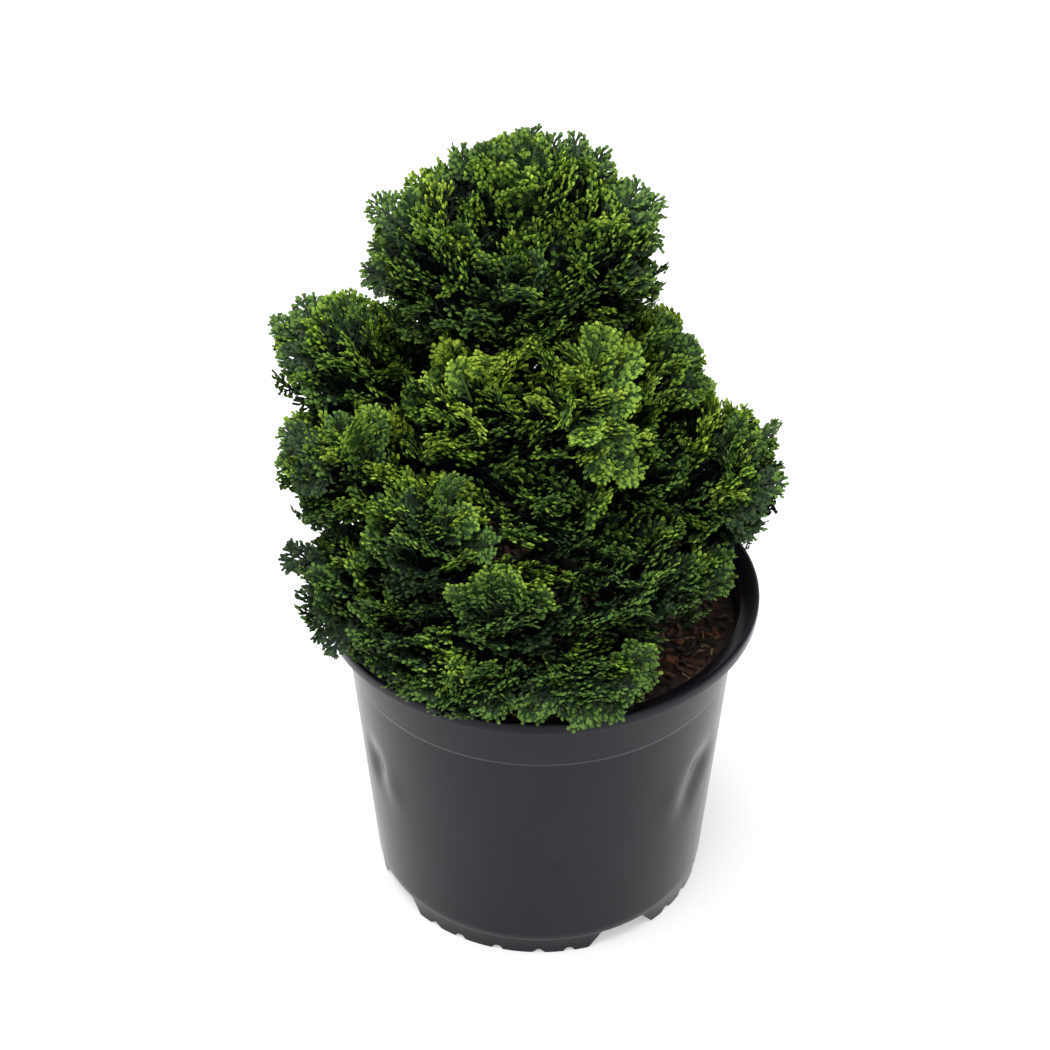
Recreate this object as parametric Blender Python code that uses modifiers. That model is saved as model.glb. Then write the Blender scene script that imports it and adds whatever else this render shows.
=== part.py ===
"""Dwarf hinoki cypress in a round plastic nursery pot.

Units are metres and +Z is up. The origin is the middle of the pot's underside, and the front of the
plant looks along -Y. The crown is made of separate foliage masses, each on its own bough. A mass is
one stem, a dense core and toothed sprays that stand out of the core inside the mass's own space.
"""
import math
import random
from collections import namedtuple

import bmesh
import bpy
import numpy as np
from mathutils import Matrix, Vector

# Gap between pieces that rest on or grow out of each other
SEAT_GAP = 0.0003
MERGE = 0.00001

# Pot
POT_HEIGHT = 0.150
POT_STEPS = 36
WALL = 0.0012
LIP_RADIUS = 0.095
LIP_DROP = 0.0057
LIP_BEAD_WIDTH = 0.0016
LIP_BEAD_FALL = 0.0003
LIP_BAND_DIP = 0.0012
SKIRT_SLANT = 0.0003
NECK_RADIUS = 0.0880
NECK_DROP = 0.0042
SHOULDER_RADIUS = 0.0842
SHOULDER_HEIGHT = 0.1195
SHOULDER_LEDGE = 0.0006
FOOT_RADIUS = 0.0740
FOOT_STEP_HEIGHT = 0.0086
FOOT_STEP = 0.0006
FLOOR_DISC_RADIUS = 0.046
FLOOR_SLOPE = 0.006
FLOOR_RISE = 0.0082

# Openings in the foot ring, each a slot with slanted sides, and the drain holes in the raised floor
SLOT_DEPTH = 0.0096
SLOT_UNDER = 0.004
ARCHES = 4
ARCH_TURN = math.radians(30)
ARCH_WIDTH = 0.0265
ARCH_HEIGHT = 0.0074
ARCH_TAPER = 0.78
NOTCH_WIDTH = 0.0036
NOTCH_HEIGHT = 0.0019
NOTCH_TAPER = 0.66
NOTCH_TURNS = (20.5, 31.0, 45.0, 59.5, 70.0)
DRAIN_RADIUS = 0.0050
DRAIN_PLACE = 0.0610
DRAIN_SIDES = 10

# Soil
SOIL_LEVEL = 0.137
SOIL_EDGE_DIP = 0.002
SOIL_FLAT_RADIUS = 0.070

# Trunk
TRUNK_FOOT = SOIL_LEVEL + SEAT_GAP
TRUNK_TIP = 0.318
TRUNK_LEAN = (-0.006, 0.001)
TRUNK_SWAY = 0.0025
TRUNK_FOOT_RADIUS = 0.0068
TRUNK_TIP_RADIUS = 0.0020
FLARE = 0.0036
FLARE_HEIGHT = 0.0060
FLARE_ROOTS = 4
FLARE_LOBE = 0.30
TRUNK_SIDES = 10
TRUNK_RINGS = 10
TRUNK_RINGS_LOW = 1.6

# Boughs
BOUGH_ROOT_RADIUS = 0.0030
BOUGH_TIP_RADIUS = 0.0015
BOUGH_POINTS = 4
BOUGH_SIDES_STEP = 1
BOUGH_SAG = 0.14
BOUGH_REACH_IN = 0.86
BOUGH_PRESS_ON = 0.02

# Foliage masses
CORE_SHARE = 0.76
CORE_ROUGH = 0.13
CORE_DETAIL = 2
STEM_RADIUS = 0.0014
STEM_SIDES = 6
STEM_REACH = 0.60
SPRAYS_PER_REACH = 440
SPRAY_ROOT = 0.25
SPRAY_HUB = 0.80
SPRAY_TEETH = 6
SPRAY_SPREAD = math.radians(86)
SPRAY_WIDE = 0.66
SPRAY_VALLEY = 0.80
SPRAY_ROOT_WIDTH = 0.0016
SPRAY_THICK = 0.0024
SPRAY_CUP = 0.16
SPRAY_TWIST = math.radians(35)
SPRAY_LEAST = 0.16
SPRAY_SAMPLES = (0.0, 0.35, 0.7)
STEEPEST = 0.05
PULL_STEPS = 20
FACING_BACK = 0.80
SPACE_MARGIN = 0.030
LIMB_CLEARANCE = 0.0016
CORE_CLEARANCE = 0.0044
POT_CLEARANCE = 0.0012
GOLDEN_TURN = math.pi * (3.0 - math.sqrt(5.0))
SHARP_ANGLE = math.radians(40)

# centre and reach of each mass, and the height at which its bough leaves the trunk
Mass = namedtuple("Mass", "name centre reach leaves_at tone")
MASSES = (
    Mass("top_back", (-0.008, 0.020, 0.322), (0.045, 0.031, 0.034), 0.288, "mid"),
    Mass("top_left", (-0.040, 0.005, 0.306), (0.033, 0.033, 0.037), 0.262, "mid"),
    Mass("top_right", (0.021, 0.005, 0.306), (0.031, 0.033, 0.036), 0.270, "mid"),
    Mass("top_front", (-0.009, -0.014, 0.302), (0.036, 0.030, 0.031), 0.254, "deep"),
    Mass("left_high", (-0.080, 0.018, 0.252), (0.035, 0.033, 0.030), 0.206, "mid"),
    Mass("left_mid", (-0.075, -0.013, 0.218), (0.036, 0.033, 0.033), 0.184, "fresh"),
    Mass("left_low", (-0.069, -0.035, 0.176), (0.036, 0.033, 0.028), 0.151, "deep"),
    Mass("dome_left", (-0.024, -0.025, 0.253), (0.034, 0.034, 0.039), 0.218, "fresh"),
    Mass("dome_right", (0.016, -0.025, 0.255), (0.032, 0.034, 0.039), 0.226, "fresh"),
    Mass("right_high", (0.041, 0.012, 0.246), (0.030, 0.032, 0.036), 0.208, "fresh"),
    Mass("right_mid", (0.070, -0.004, 0.208), (0.034, 0.035, 0.037), 0.162, "mid"),
    Mass("front_left", (-0.043, -0.054, 0.212), (0.031, 0.029, 0.031), 0.178, "mid"),
    Mass("front_left_low", (-0.048, -0.062, 0.175), (0.031, 0.029, 0.028), 0.161, "deep"),
    Mass("front_high", (-0.002, -0.046, 0.219), (0.034, 0.030, 0.032), 0.190, "deep"),
    Mass("front_mid", (-0.012, -0.067, 0.190), (0.034, 0.029, 0.027), 0.171, "mid"),
    Mass("front_low_left", (-0.025, -0.078, 0.164), (0.036, 0.026, 0.019), 0.145, "mid"),
    Mass("front_low", (0.018, -0.080, 0.165), (0.030, 0.025, 0.019), 0.151, "mid"),
    Mass("front_right", (0.033, -0.054, 0.191), (0.035, 0.033, 0.030), 0.167, "deep"),
    Mass("right_low", (0.052, -0.026, 0.179), (0.029, 0.031, 0.024), 0.155, "mid"),
    Mass("right_inner", (0.043, -0.014, 0.218), (0.025, 0.031, 0.029), 0.196, "deep"),
    Mass("back_high", (-0.016, 0.045, 0.268), (0.039, 0.033, 0.037), 0.234, "mid"),
    Mass("back_left", (-0.056, 0.045, 0.207), (0.038, 0.038, 0.040), 0.170, "deep"),
    Mass("back_mid", (-0.002, 0.059, 0.214), (0.039, 0.034, 0.040), 0.190, "mid"),
    Mass("back_right", (0.045, 0.046, 0.205), (0.038, 0.036, 0.040), 0.178, "mid"),
    Mass("back_low_left", (-0.032, 0.063, 0.170), (0.038, 0.030, 0.022), 0.150, "deep"),
    Mass("back_low_right", (0.032, 0.064, 0.168), (0.038, 0.030, 0.021), 0.152, "deep"),
)

COLOURS = {
    "pot": ((0.020, 0.020, 0.023), 0.45),
    "soil": ((0.045, 0.022, 0.013), 0.95),
    "bark": ((0.110, 0.060, 0.035), 0.85),
    "foliage_fresh": ((0.120, 0.290, 0.035), 0.55),
    "foliage_mid": ((0.055, 0.160, 0.025), 0.60),
    "foliage_deep": ((0.020, 0.075, 0.020), 0.65),
}


def clear_scene():
    """Removes the objects that the file opened with."""
    for found in list(bpy.data.objects):
        bpy.data.objects.remove(found, do_unlink=True)


def new_collection(name):
    collection = bpy.data.collections.new(name)
    bpy.context.scene.collection.children.link(collection)
    return collection


def finish_material(slot):
    """A Principled material with the slot's colour and roughness."""
    colour, roughness = COLOURS[slot]
    material = bpy.data.materials.new(slot)
    material.use_nodes = True
    shader = material.node_tree.nodes["Principled BSDF"]
    shader.inputs["Base Color"].default_value = (*colour, 1.0)
    shader.inputs["Roughness"].default_value = roughness
    shader.inputs["Metallic"].default_value = 0.0
    material.diffuse_color = (*colour, 1.0)
    return material


def add_object(name, mesh, collection, material=None):
    made = bpy.data.objects.new(name, mesh)
    collection.objects.link(made)
    if material is not None:
        mesh.materials.clear()
        mesh.materials.append(material)
    return made


def mesh_from(shape, name):
    """Turns a bmesh into a mesh with its faces pointing out."""
    bmesh.ops.recalc_face_normals(shape, faces=shape.faces)
    mesh = bpy.data.meshes.new(name)
    shape.to_mesh(mesh)
    shape.free()
    return mesh


def evaluated_mesh(item):
    """The item's mesh with its modifiers applied."""
    graph = bpy.context.evaluated_depsgraph_get()
    graph.update()
    return bpy.data.meshes.new_from_object(item.evaluated_get(graph))


def shade_round(item):
    """Applies the item's modifiers and shades it smooth, but for its true edges."""
    item.data = evaluated_mesh(item)
    item.modifiers.clear()
    item.data.shade_smooth()
    item.data.set_sharp_from_angle(angle=SHARP_ANGLE)
    return item


def as_cutter(item):
    item.hide_render = True
    item.display_type = "WIRE"
    return item


def cut(item, cutter):
    """Takes the cutter out of the item, exactly."""
    boolean = item.modifiers.new("cut_" + cutter.name, "BOOLEAN")
    boolean.operation = "DIFFERENCE"
    boolean.solver = "EXACT"
    boolean.object = cutter


def turned(name, profile, collection, material):
    """A solid of revolution: the profile in the XZ plane, turned about Z."""
    mesh = bpy.data.meshes.new(name)
    points = [(radius, 0.0, height) for radius, height in profile]
    mesh.from_pydata(points, [(i, i + 1) for i in range(len(points) - 1)], [])
    made = add_object(name, mesh, collection, material)
    screw = made.modifiers.new("turn", "SCREW")
    screw.axis = "Z"
    screw.angle = 2.0 * math.pi
    screw.steps = POT_STEPS
    screw.render_steps = POT_STEPS
    screw.use_merge_vertices = True
    screw.merge_threshold = MERGE
    screw.use_smooth_shade = False
    return made


def pot_inner_radius(height):
    """Inside of the pot's wall, straight from foot to shoulder and from shoulder to neck."""
    neck_height = POT_HEIGHT - NECK_DROP
    if height > SHOULDER_HEIGHT:
        share = (height - SHOULDER_HEIGHT) / (neck_height - SHOULDER_HEIGHT)
        return SHOULDER_RADIUS + share * (NECK_RADIUS - SHOULDER_RADIUS) - WALL
    return FOOT_RADIUS + (height / SHOULDER_HEIGHT) * (SHOULDER_RADIUS - FOOT_RADIUS) - WALL


def pot_profile():
    """Section from the middle of the floor, up the inside, over the lip and down to the foot."""
    top = POT_HEIGHT
    rise = FLOOR_RISE + WALL
    inside = [
        (0.0, WALL),
        (FLOOR_DISC_RADIUS - WALL, WALL),
        (FLOOR_DISC_RADIUS - WALL + FLOOR_SLOPE, rise),
        (pot_inner_radius(rise), rise),
        (pot_inner_radius(SHOULDER_HEIGHT), SHOULDER_HEIGHT),
        (NECK_RADIUS - WALL, top - NECK_DROP + WALL),
    ]
    lip = [
        (LIP_RADIUS - 1.6 * LIP_BEAD_WIDTH, top - LIP_BAND_DIP),
        (LIP_RADIUS - LIP_BEAD_WIDTH, top),
        (LIP_RADIUS - 0.3 * LIP_BEAD_WIDTH, top - LIP_BEAD_FALL),
        (LIP_RADIUS, top - LIP_BEAD_WIDTH),
        (LIP_RADIUS - SKIRT_SLANT, top - LIP_DROP),
        (LIP_RADIUS - SKIRT_SLANT - WALL, top - LIP_DROP),
        (LIP_RADIUS - 2.0 * SKIRT_SLANT - WALL, top - LIP_BAND_DIP - 1.6 * WALL),
        (NECK_RADIUS, top - NECK_DROP),
    ]
    outside = [
        (SHOULDER_RADIUS + SHOULDER_LEDGE, SHOULDER_HEIGHT + SHOULDER_LEDGE),
        (SHOULDER_RADIUS, SHOULDER_HEIGHT - SHOULDER_LEDGE),
        (FOOT_RADIUS + 2.0 * FOOT_STEP, FOOT_STEP_HEIGHT + FOOT_STEP),
        (FOOT_RADIUS + FOOT_STEP, FOOT_STEP_HEIGHT - FOOT_STEP),
        (FOOT_RADIUS, 0.0),
        (FOOT_RADIUS - WALL, 0.0),
        (FOOT_RADIUS - WALL, FLOOR_RISE),
        (FLOOR_DISC_RADIUS + FLOOR_SLOPE, FLOOR_RISE),
        (FLOOR_DISC_RADIUS, 0.0),
        (0.0, 0.0),
    ]
    return inside + lip + outside


def slot_cutter(name, width, height, taper, turn, collection):
    """A block through the foot ring, narrower at its top, at this turn from the front."""
    shape = bmesh.new()
    bmesh.ops.create_cube(shape, size=1.0)
    for corner in shape.verts:
        at_top = corner.co.z > 0.0
        corner.co.x *= width * (taper if at_top else 1.0 / taper)
        corner.co.y *= SLOT_DEPTH
        corner.co.z = height if at_top else -SLOT_UNDER
    mesh = mesh_from(shape, name)
    made = as_cutter(add_object(name, mesh, collection))
    place = FOOT_RADIUS - 0.5 * WALL
    made.location = (place * math.sin(turn), -place * math.cos(turn), 0.0)
    made.rotation_euler = (0.0, 0.0, turn)
    return made


def drain_cutter(name, turn, collection):
    shape = bmesh.new()
    bmesh.ops.create_cone(
        shape,
        cap_ends=True,
        segments=DRAIN_SIDES,
        radius1=DRAIN_RADIUS,
        radius2=DRAIN_RADIUS,
        depth=4.0 * WALL,
    )
    made = as_cutter(add_object(name, mesh_from(shape, name), collection))
    height = FLOOR_RISE + 0.5 * WALL
    made.location = (DRAIN_PLACE * math.sin(turn), -DRAIN_PLACE * math.cos(turn), height)
    return made


def make_pot(parts, cutters, material):
    pot = turned("pot", pot_profile(), parts, material)
    quarter = 2.0 * math.pi / ARCHES
    for side in range(ARCHES):
        turn = ARCH_TURN + side * quarter
        arch = slot_cutter(f"arch_{side}", ARCH_WIDTH, ARCH_HEIGHT, ARCH_TAPER, turn, cutters)
        cut(pot, arch)
        cut(pot, drain_cutter(f"drain_{side}", turn, cutters))
        for place, degrees in enumerate(NOTCH_TURNS):
            notch_turn = turn + math.radians(degrees)
            name = f"notch_{side}_{place}"
            cut(pot, slot_cutter(name, NOTCH_WIDTH, NOTCH_HEIGHT, NOTCH_TAPER, notch_turn, cutters))
    return shade_round(pot)


def make_soil(parts, material):
    """The root ball: fills the pot to just under the lip."""
    edge = SOIL_LEVEL - SOIL_EDGE_DIP
    rise = FLOOR_RISE + WALL + SEAT_GAP
    low = WALL + SEAT_GAP
    disc = FLOOR_DISC_RADIUS - WALL - SEAT_GAP
    profile = [
        (0.0, SOIL_LEVEL),
        (SOIL_FLAT_RADIUS, SOIL_LEVEL),
        (pot_inner_radius(edge) - SEAT_GAP, edge),
        (pot_inner_radius(SHOULDER_HEIGHT) - SEAT_GAP, SHOULDER_HEIGHT),
        (pot_inner_radius(rise) - SEAT_GAP, rise),
        (disc + FLOOR_SLOPE, rise),
        (disc, low),
        (0.0, low),
    ]
    return shade_round(turned("soil", profile, parts, material))


def trunk_axis(height):
    """Middle of the trunk at this height: it leans a little, with one slow sway."""
    share = (height - TRUNK_FOOT) / (TRUNK_TIP - TRUNK_FOOT)
    sway = TRUNK_SWAY * math.sin(2.0 * math.pi * share)
    return Vector((TRUNK_LEAN[0] * share + sway, TRUNK_LEAN[1] * share, height))


def trunk_radius(height):
    """Taper of the trunk, with the root flare at its foot."""
    share = (height - TRUNK_FOOT) / (TRUNK_TIP - TRUNK_FOOT)
    straight = TRUNK_FOOT_RADIUS + share * (TRUNK_TIP_RADIUS - TRUNK_FOOT_RADIUS)
    return straight + FLARE * math.exp(-(height - TRUNK_FOOT) / FLARE_HEIGHT)


def trunk_mesh(name, grow):
    """Rings from the flat cut at soil level to the tip, lobed where the roots spread."""
    shape = bmesh.new()
    rings = []
    for ring in range(TRUNK_RINGS):
        share = (ring / (TRUNK_RINGS - 1)) ** TRUNK_RINGS_LOW
        height = TRUNK_FOOT + share * (TRUNK_TIP - TRUNK_FOOT)
        middle = trunk_axis(height)
        lobe = FLARE_LOBE * math.exp(-(height - TRUNK_FOOT) / FLARE_HEIGHT)
        corners = []
        for side in range(TRUNK_SIDES):
            turn = 2.0 * math.pi * side / TRUNK_SIDES
            radius = trunk_radius(height) * (1.0 + lobe * math.cos(FLARE_ROOTS * turn)) + grow
            offset = Vector((radius * math.cos(turn), radius * math.sin(turn), 0.0))
            corners.append(shape.verts.new(middle + offset))
        rings.append(corners)
    for low, high in zip(rings, rings[1:]):
        for side in range(TRUNK_SIDES):
            after = (side + 1) % TRUNK_SIDES
            shape.faces.new((low[side], low[after], high[after], high[side]))
    shape.faces.new(rings[0])
    shape.faces.new(rings[-1])
    return mesh_from(shape, name)


def level_in(mass, point):
    """0 at the mass's centre and 1 at the edge of its reach."""
    offset = [(point[i] - mass.centre[i]) / mass.reach[i] for i in range(3)]
    return math.sqrt(sum(part * part for part in offset))


def mass_foot(mass):
    """Where the bough hands over to the mass's stem: as it enters the mass's own space."""
    centre = Vector(mass.centre)
    back = trunk_axis(mass.leaves_at) - centre
    share = BOUGH_REACH_IN / level_in(mass, centre + back)
    while share > BOUGH_PRESS_ON and not in_own_space(mass, centre + back * share):
        share -= BOUGH_PRESS_ON
    return centre + back * share


def bough_points(mass):
    """A shallow arc from the trunk's middle to the mass's foot, flatter at first."""
    start = trunk_axis(mass.leaves_at)
    end = mass_foot(mass)
    middle = (start + end) / 2.0 - Vector((0.0, 0.0, BOUGH_SAG * (end - start).length))
    points = []
    for step in range(BOUGH_POINTS):
        share = step / (BOUGH_POINTS - 1)
        points.append(
            start * (1.0 - share) ** 2 + middle * (2.0 * share * (1.0 - share)) + end * share**2
        )
    return points


def bough_radius(step):
    share = step / (BOUGH_POINTS - 1)
    return BOUGH_ROOT_RADIUS + share * (BOUGH_TIP_RADIUS - BOUGH_ROOT_RADIUS)


def make_bough(mass, parts, clearance, material):
    """One tapering limb, cut clear of the trunk."""
    name = mass.name + "_bough"
    curve = bpy.data.curves.new(name, "CURVE")
    curve.dimensions = "3D"
    curve.bevel_depth = 1.0
    curve.bevel_resolution = BOUGH_SIDES_STEP
    curve.use_fill_caps = True
    spline = curve.splines.new("POLY")
    points = bough_points(mass)
    spline.points.add(len(points) - 1)
    for step, point in enumerate(points):
        spline.points[step].co = (*point, 1.0)
        spline.points[step].radius = bough_radius(step)
    guide = bpy.data.objects.new(name + "_guide", curve)
    parts.objects.link(guide)
    mesh = evaluated_mesh(guide)
    bpy.data.objects.remove(guide, do_unlink=True)
    shape = bmesh.new()
    shape.from_mesh(mesh)
    bmesh.ops.remove_doubles(shape, verts=shape.verts, dist=MERGE)
    bough = add_object(name, mesh_from(shape, name), parts, material)
    cut(bough, clearance)
    return shade_round(bough)


def limb_stretches():
    """Every limb as straight stretches: start, end and the larger radius of each."""
    stretches = []
    heights = [TRUNK_FOOT + i * (TRUNK_TIP - TRUNK_FOOT) / TRUNK_RINGS for i in range(TRUNK_RINGS + 1)]
    for low, high in zip(heights, heights[1:]):
        stretches.append((trunk_axis(low), trunk_axis(high), trunk_radius(low)))
    for mass in MASSES:
        points = bough_points(mass)
        for step in range(BOUGH_POINTS - 1):
            stretches.append((points[step], points[step + 1], bough_radius(step)))
    return stretches


class Limbs:
    """All limbs at once, to ask how near a set of points comes to any of them."""

    def __init__(self):
        stretches = limb_stretches()
        self.start = np.array([tuple(one[0]) for one in stretches])
        self.along = np.array([tuple(one[1] - one[0]) for one in stretches])
        self.radius = np.array([one[2] for one in stretches])
        self.length2 = (self.along**2).sum(1)

    def clear(self, points, clearance=LIMB_CLEARANCE):
        offsets = np.array([tuple(one) for one in points])[:, None, :] - self.start[None]
        share = np.clip((offsets * self.along[None]).sum(2) / self.length2, 0.0, 1.0)
        away = np.linalg.norm(offsets - share[..., None] * self.along[None], axis=2)
        return bool((away > self.radius + clearance).all())


def clear_of_pot(point):
    """Over the lip a mass stays above it, and inside it stays above the soil."""
    from_axis = math.hypot(point[0], point[1])
    if from_axis > pot_inner_radius(SOIL_LEVEL) - POT_CLEARANCE:
        return point[2] > POT_HEIGHT + POT_CLEARANCE
    return point[2] > SOIL_LEVEL + POT_CLEARANCE


def in_own_space(mass, point):
    """Inside the mass's reach, nearer to it than to any other mass, and clear of the pot."""
    own = level_in(mass, point)
    if own > 1.0 or not clear_of_pot(point):
        return False
    for other in MASSES:
        if other is not mass and own + SPACE_MARGIN > level_in(other, point):
            return False
    return True


def pull_in(mass, limbs, point, start, clearance=LIMB_CLEARANCE):
    """How far the way out to a point stays in the mass's own space and clear of limbs."""
    reached = 0.0
    for step in range(1, PULL_STEPS + 1):
        tried = start.lerp(point, step / PULL_STEPS)
        if not (in_own_space(mass, tried) and limbs.clear((tried,), clearance)):
            break
        reached = step / PULL_STEPS
    return start.lerp(point, reached), reached


def spray_frame(along, twist):
    """Across and up for a spray: its face looks as far up as its direction allows."""
    upright = Vector((0.0, 0.0, 1.0))
    face = upright - along * along.dot(upright)
    if face.length < STEEPEST:
        face = Vector((0.0, -1.0, 0.0))
    face.normalize()
    face.rotate(Matrix.Rotation(twist, 3, along))
    return face.cross(along), face


def spray_outline(mass, limbs, hub, along, across, face):
    """Tooth tips where rays from the hub meet the edge of the mass's space, with valleys between."""
    wide = SPRAY_WIDE * sum(mass.reach) / 3.0
    tips = []
    for tooth in range(SPRAY_TEETH):
        turn = SPRAY_SPREAD * (2.0 * tooth / (SPRAY_TEETH - 1) - 1.0)
        outward = along * math.cos(turn) + across * math.sin(turn) + face * SPRAY_CUP
        tip, share = pull_in(mass, limbs, hub + outward * wide, hub)
        if share < SPRAY_LEAST:
            return None
        tips.append(tip)
    outline = []
    for tip, after in zip(tips, tips[1:]):
        outline.append(tip)
        outline.append(hub + ((tip + after) / 2.0 - hub) * SPRAY_VALLEY)
    outline.append(tips[-1])
    return outline


def spray_mesh(name, mass, limbs, way, twist):
    """A toothed blade on a narrow root, thickest at its hub; None where it has no room."""
    centre = Vector(mass.centre)
    along = way.normalized()
    across, face = spray_frame(along, twist)
    hub = centre + way * SPRAY_HUB
    root = centre + way * SPRAY_ROOT
    if not in_own_space(mass, hub):
        return None
    outline = spray_outline(mass, limbs, hub, along, across, face)
    if outline is None:
        return None
    between = [hub.lerp(point, share) for point in outline + [root] for share in SPRAY_SAMPLES]
    if not limbs.clear(between):
        return None
    stalk = across * SPRAY_ROOT_WIDTH
    edge = [root - stalk] + outline + [root + stalk]
    shape = bmesh.new()
    corners = [shape.verts.new(point) for point in edge]
    upper = shape.verts.new(hub + face * SPRAY_THICK / 2.0)
    lower = shape.verts.new(hub - face * SPRAY_THICK / 2.0)
    for step, corner in enumerate(corners):
        after = corners[(step + 1) % len(corners)]
        shape.faces.new((corner, after, upper))
        shape.faces.new((after, corner, lower))
    return mesh_from(shape, name)


def core_mesh(name, mass, limbs, dice):
    """The dense inside of a mass, rough, and drawn in where a mass, a limb or the pot is near."""
    shape = bmesh.new()
    bmesh.ops.create_icosphere(shape, subdivisions=CORE_DETAIL, radius=CORE_SHARE)
    centre = Vector(mass.centre)
    for corner in shape.verts:
        offset = Vector([corner.co[i] * mass.reach[i] for i in range(3)])
        offset *= 1.0 + dice.uniform(-CORE_ROUGH, CORE_ROUGH)
        corner.co, _ = pull_in(mass, limbs, centre + offset, centre, CORE_CLEARANCE)
    return mesh_from(shape, name)


def stem_mesh(name, mass):
    """From just clear of the bough's tip into the core."""
    foot = mass_foot(mass)
    approach = (foot - bough_points(mass)[-2]).normalized()
    start = foot + approach * SEAT_GAP
    end = start.lerp(Vector(mass.centre), STEM_REACH)
    shape = bmesh.new()
    inward = (Vector(mass.centre) - foot).normalized()
    for place, forward in ((start, approach), (end, inward)):
        turned_to = forward.to_track_quat("Z", "Y").to_matrix()
        for side in range(STEM_SIDES):
            turn = 2.0 * math.pi * side / STEM_SIDES
            offset = Vector((math.cos(turn), math.sin(turn), 0.0)) * STEM_RADIUS
            shape.verts.new(place + turned_to @ offset)
    bmesh.ops.convex_hull(shape, input=shape.verts)
    return mesh_from(shape, name)


def spray_directions(mass, dice):
    """Directions spread evenly by the golden turn, more of them in a larger mass."""
    count = round(SPRAYS_PER_REACH * sum(mass.reach) / 3.0)
    phase = dice.uniform(0.0, 2.0 * math.pi)
    foot = mass_foot(mass) - Vector(mass.centre)
    backward = Vector([foot[i] / mass.reach[i] for i in range(3)]).normalized()
    for step in range(count):
        height = 1.0 - 2.0 * (step + 0.5) / count
        ring = math.sqrt(1.0 - height * height)
        turn = phase + step * GOLDEN_TURN
        way = Vector((ring * math.cos(turn), ring * math.sin(turn), height))
        if way.dot(backward) < FACING_BACK:
            yield Vector([way[i] * mass.reach[i] for i in range(3)])


def join(name, pieces, parts, material):
    """Fuses the pieces into one closed solid, and keeps its outer skin alone."""
    gathered = new_collection(name + "_pieces")
    for piece in pieces[1:]:
        gathered.objects.link(bpy.data.objects.new(piece.name, piece))
    made = add_object(name, pieces[0], parts, material)
    union = made.modifiers.new("join", "BOOLEAN")
    union.operation = "UNION"
    union.operand_type = "COLLECTION"
    union.collection = gathered
    mesh = None
    for solver in ("EXACT", "MANIFOLD"):
        union.solver = solver
        mesh = evaluated_mesh(made)
        if is_closed(mesh):
            break
    made.modifiers.clear()
    made.data = outer_skin(mesh, name)
    made.data.materials.clear()
    made.data.materials.append(material)
    for piece in list(gathered.objects):
        bpy.data.objects.remove(piece, do_unlink=True)
    bpy.data.collections.remove(gathered)
    return made


def is_closed(mesh):
    shape = bmesh.new()
    shape.from_mesh(mesh)
    closed = len(shape.faces) > 0 and all(edge.is_manifold for edge in shape.edges)
    shape.free()
    return closed


def outer_skin(mesh, name):
    """Drops loose scraps and sealed hollows: only the widest connected surface stays."""
    shape = bmesh.new()
    shape.from_mesh(mesh)
    bmesh.ops.remove_doubles(shape, verts=shape.verts, dist=MERGE / 2.0)
    bmesh.ops.dissolve_degenerate(shape, edges=shape.edges, dist=MERGE / 2.0)
    bmesh.ops.triangulate(shape, faces=shape.faces)
    shape.faces.ensure_lookup_table()
    unseen = set(shape.faces)
    largest = set()
    while unseen:
        patch = set()
        front = [unseen.pop()]
        while front:
            face = front.pop()
            patch.add(face)
            for edge in face.edges:
                for near in edge.link_faces:
                    if near in unseen:
                        unseen.discard(near)
                        front.append(near)
        if len(patch) > len(largest):
            largest = patch
    scraps = [face for face in shape.faces if face not in largest]
    bmesh.ops.delete(shape, geom=scraps, context="FACES")
    return mesh_from(shape, name)


def make_mass(number, mass, limbs, parts, material):
    """Stem, core and sprays of one foliage mass, fused into one solid."""
    dice = random.Random(100 + number)
    name = mass.name + "_foliage"
    core = core_mesh(name, mass, limbs, random.Random(500 + number))
    pieces = [core, stem_mesh(name + "_stem", mass)]
    for step, way in enumerate(spray_directions(mass, dice)):
        twist = dice.uniform(-SPRAY_TWIST, SPRAY_TWIST)
        blade = spray_mesh(f"{name}_spray_{step}", mass, limbs, way, twist)
        if blade is not None:
            pieces.append(blade)
    return join(name, pieces, parts, material)


def build():
    clear_scene()
    parts = new_collection("dwarf_hinoki_cypress")
    cutters = new_collection("cutters")
    materials = {slot: finish_material(slot) for slot in COLOURS}
    make_pot(parts, cutters, materials["pot"])
    make_soil(parts, materials["soil"])
    shade_round(add_object("trunk", trunk_mesh("trunk", 0.0), parts, materials["bark"]))
    around_trunk = trunk_mesh("trunk_clearance", SEAT_GAP)
    clearance = as_cutter(add_object("trunk_clearance", around_trunk, cutters))
    limbs = Limbs()
    for number, mass in enumerate(MASSES):
        make_bough(mass, parts, clearance, materials["bark"])
        make_mass(number, mass, limbs, parts, materials["foliage_" + mass.tone])


build()
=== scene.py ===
"""Looks of the dwarf hinoki cypress in its nursery pot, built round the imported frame.

Every foliage mass of the frame is grown again by the rule of its solids, carried on to fine
branchlets: a fan grows from the bough side of the mass in each spray direction, with side
branches and lobed branchlets that stop at the edge of the mass's own space. Fans that lie over
the outside of a mass, and single sprays at given places, come on top. Units are metres, apart
from the tables marked as millimetres.
"""
import math
import random
from collections import namedtuple

import bmesh
import bpy
import numpy as np
from mathutils import Matrix, Vector, noise


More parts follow.
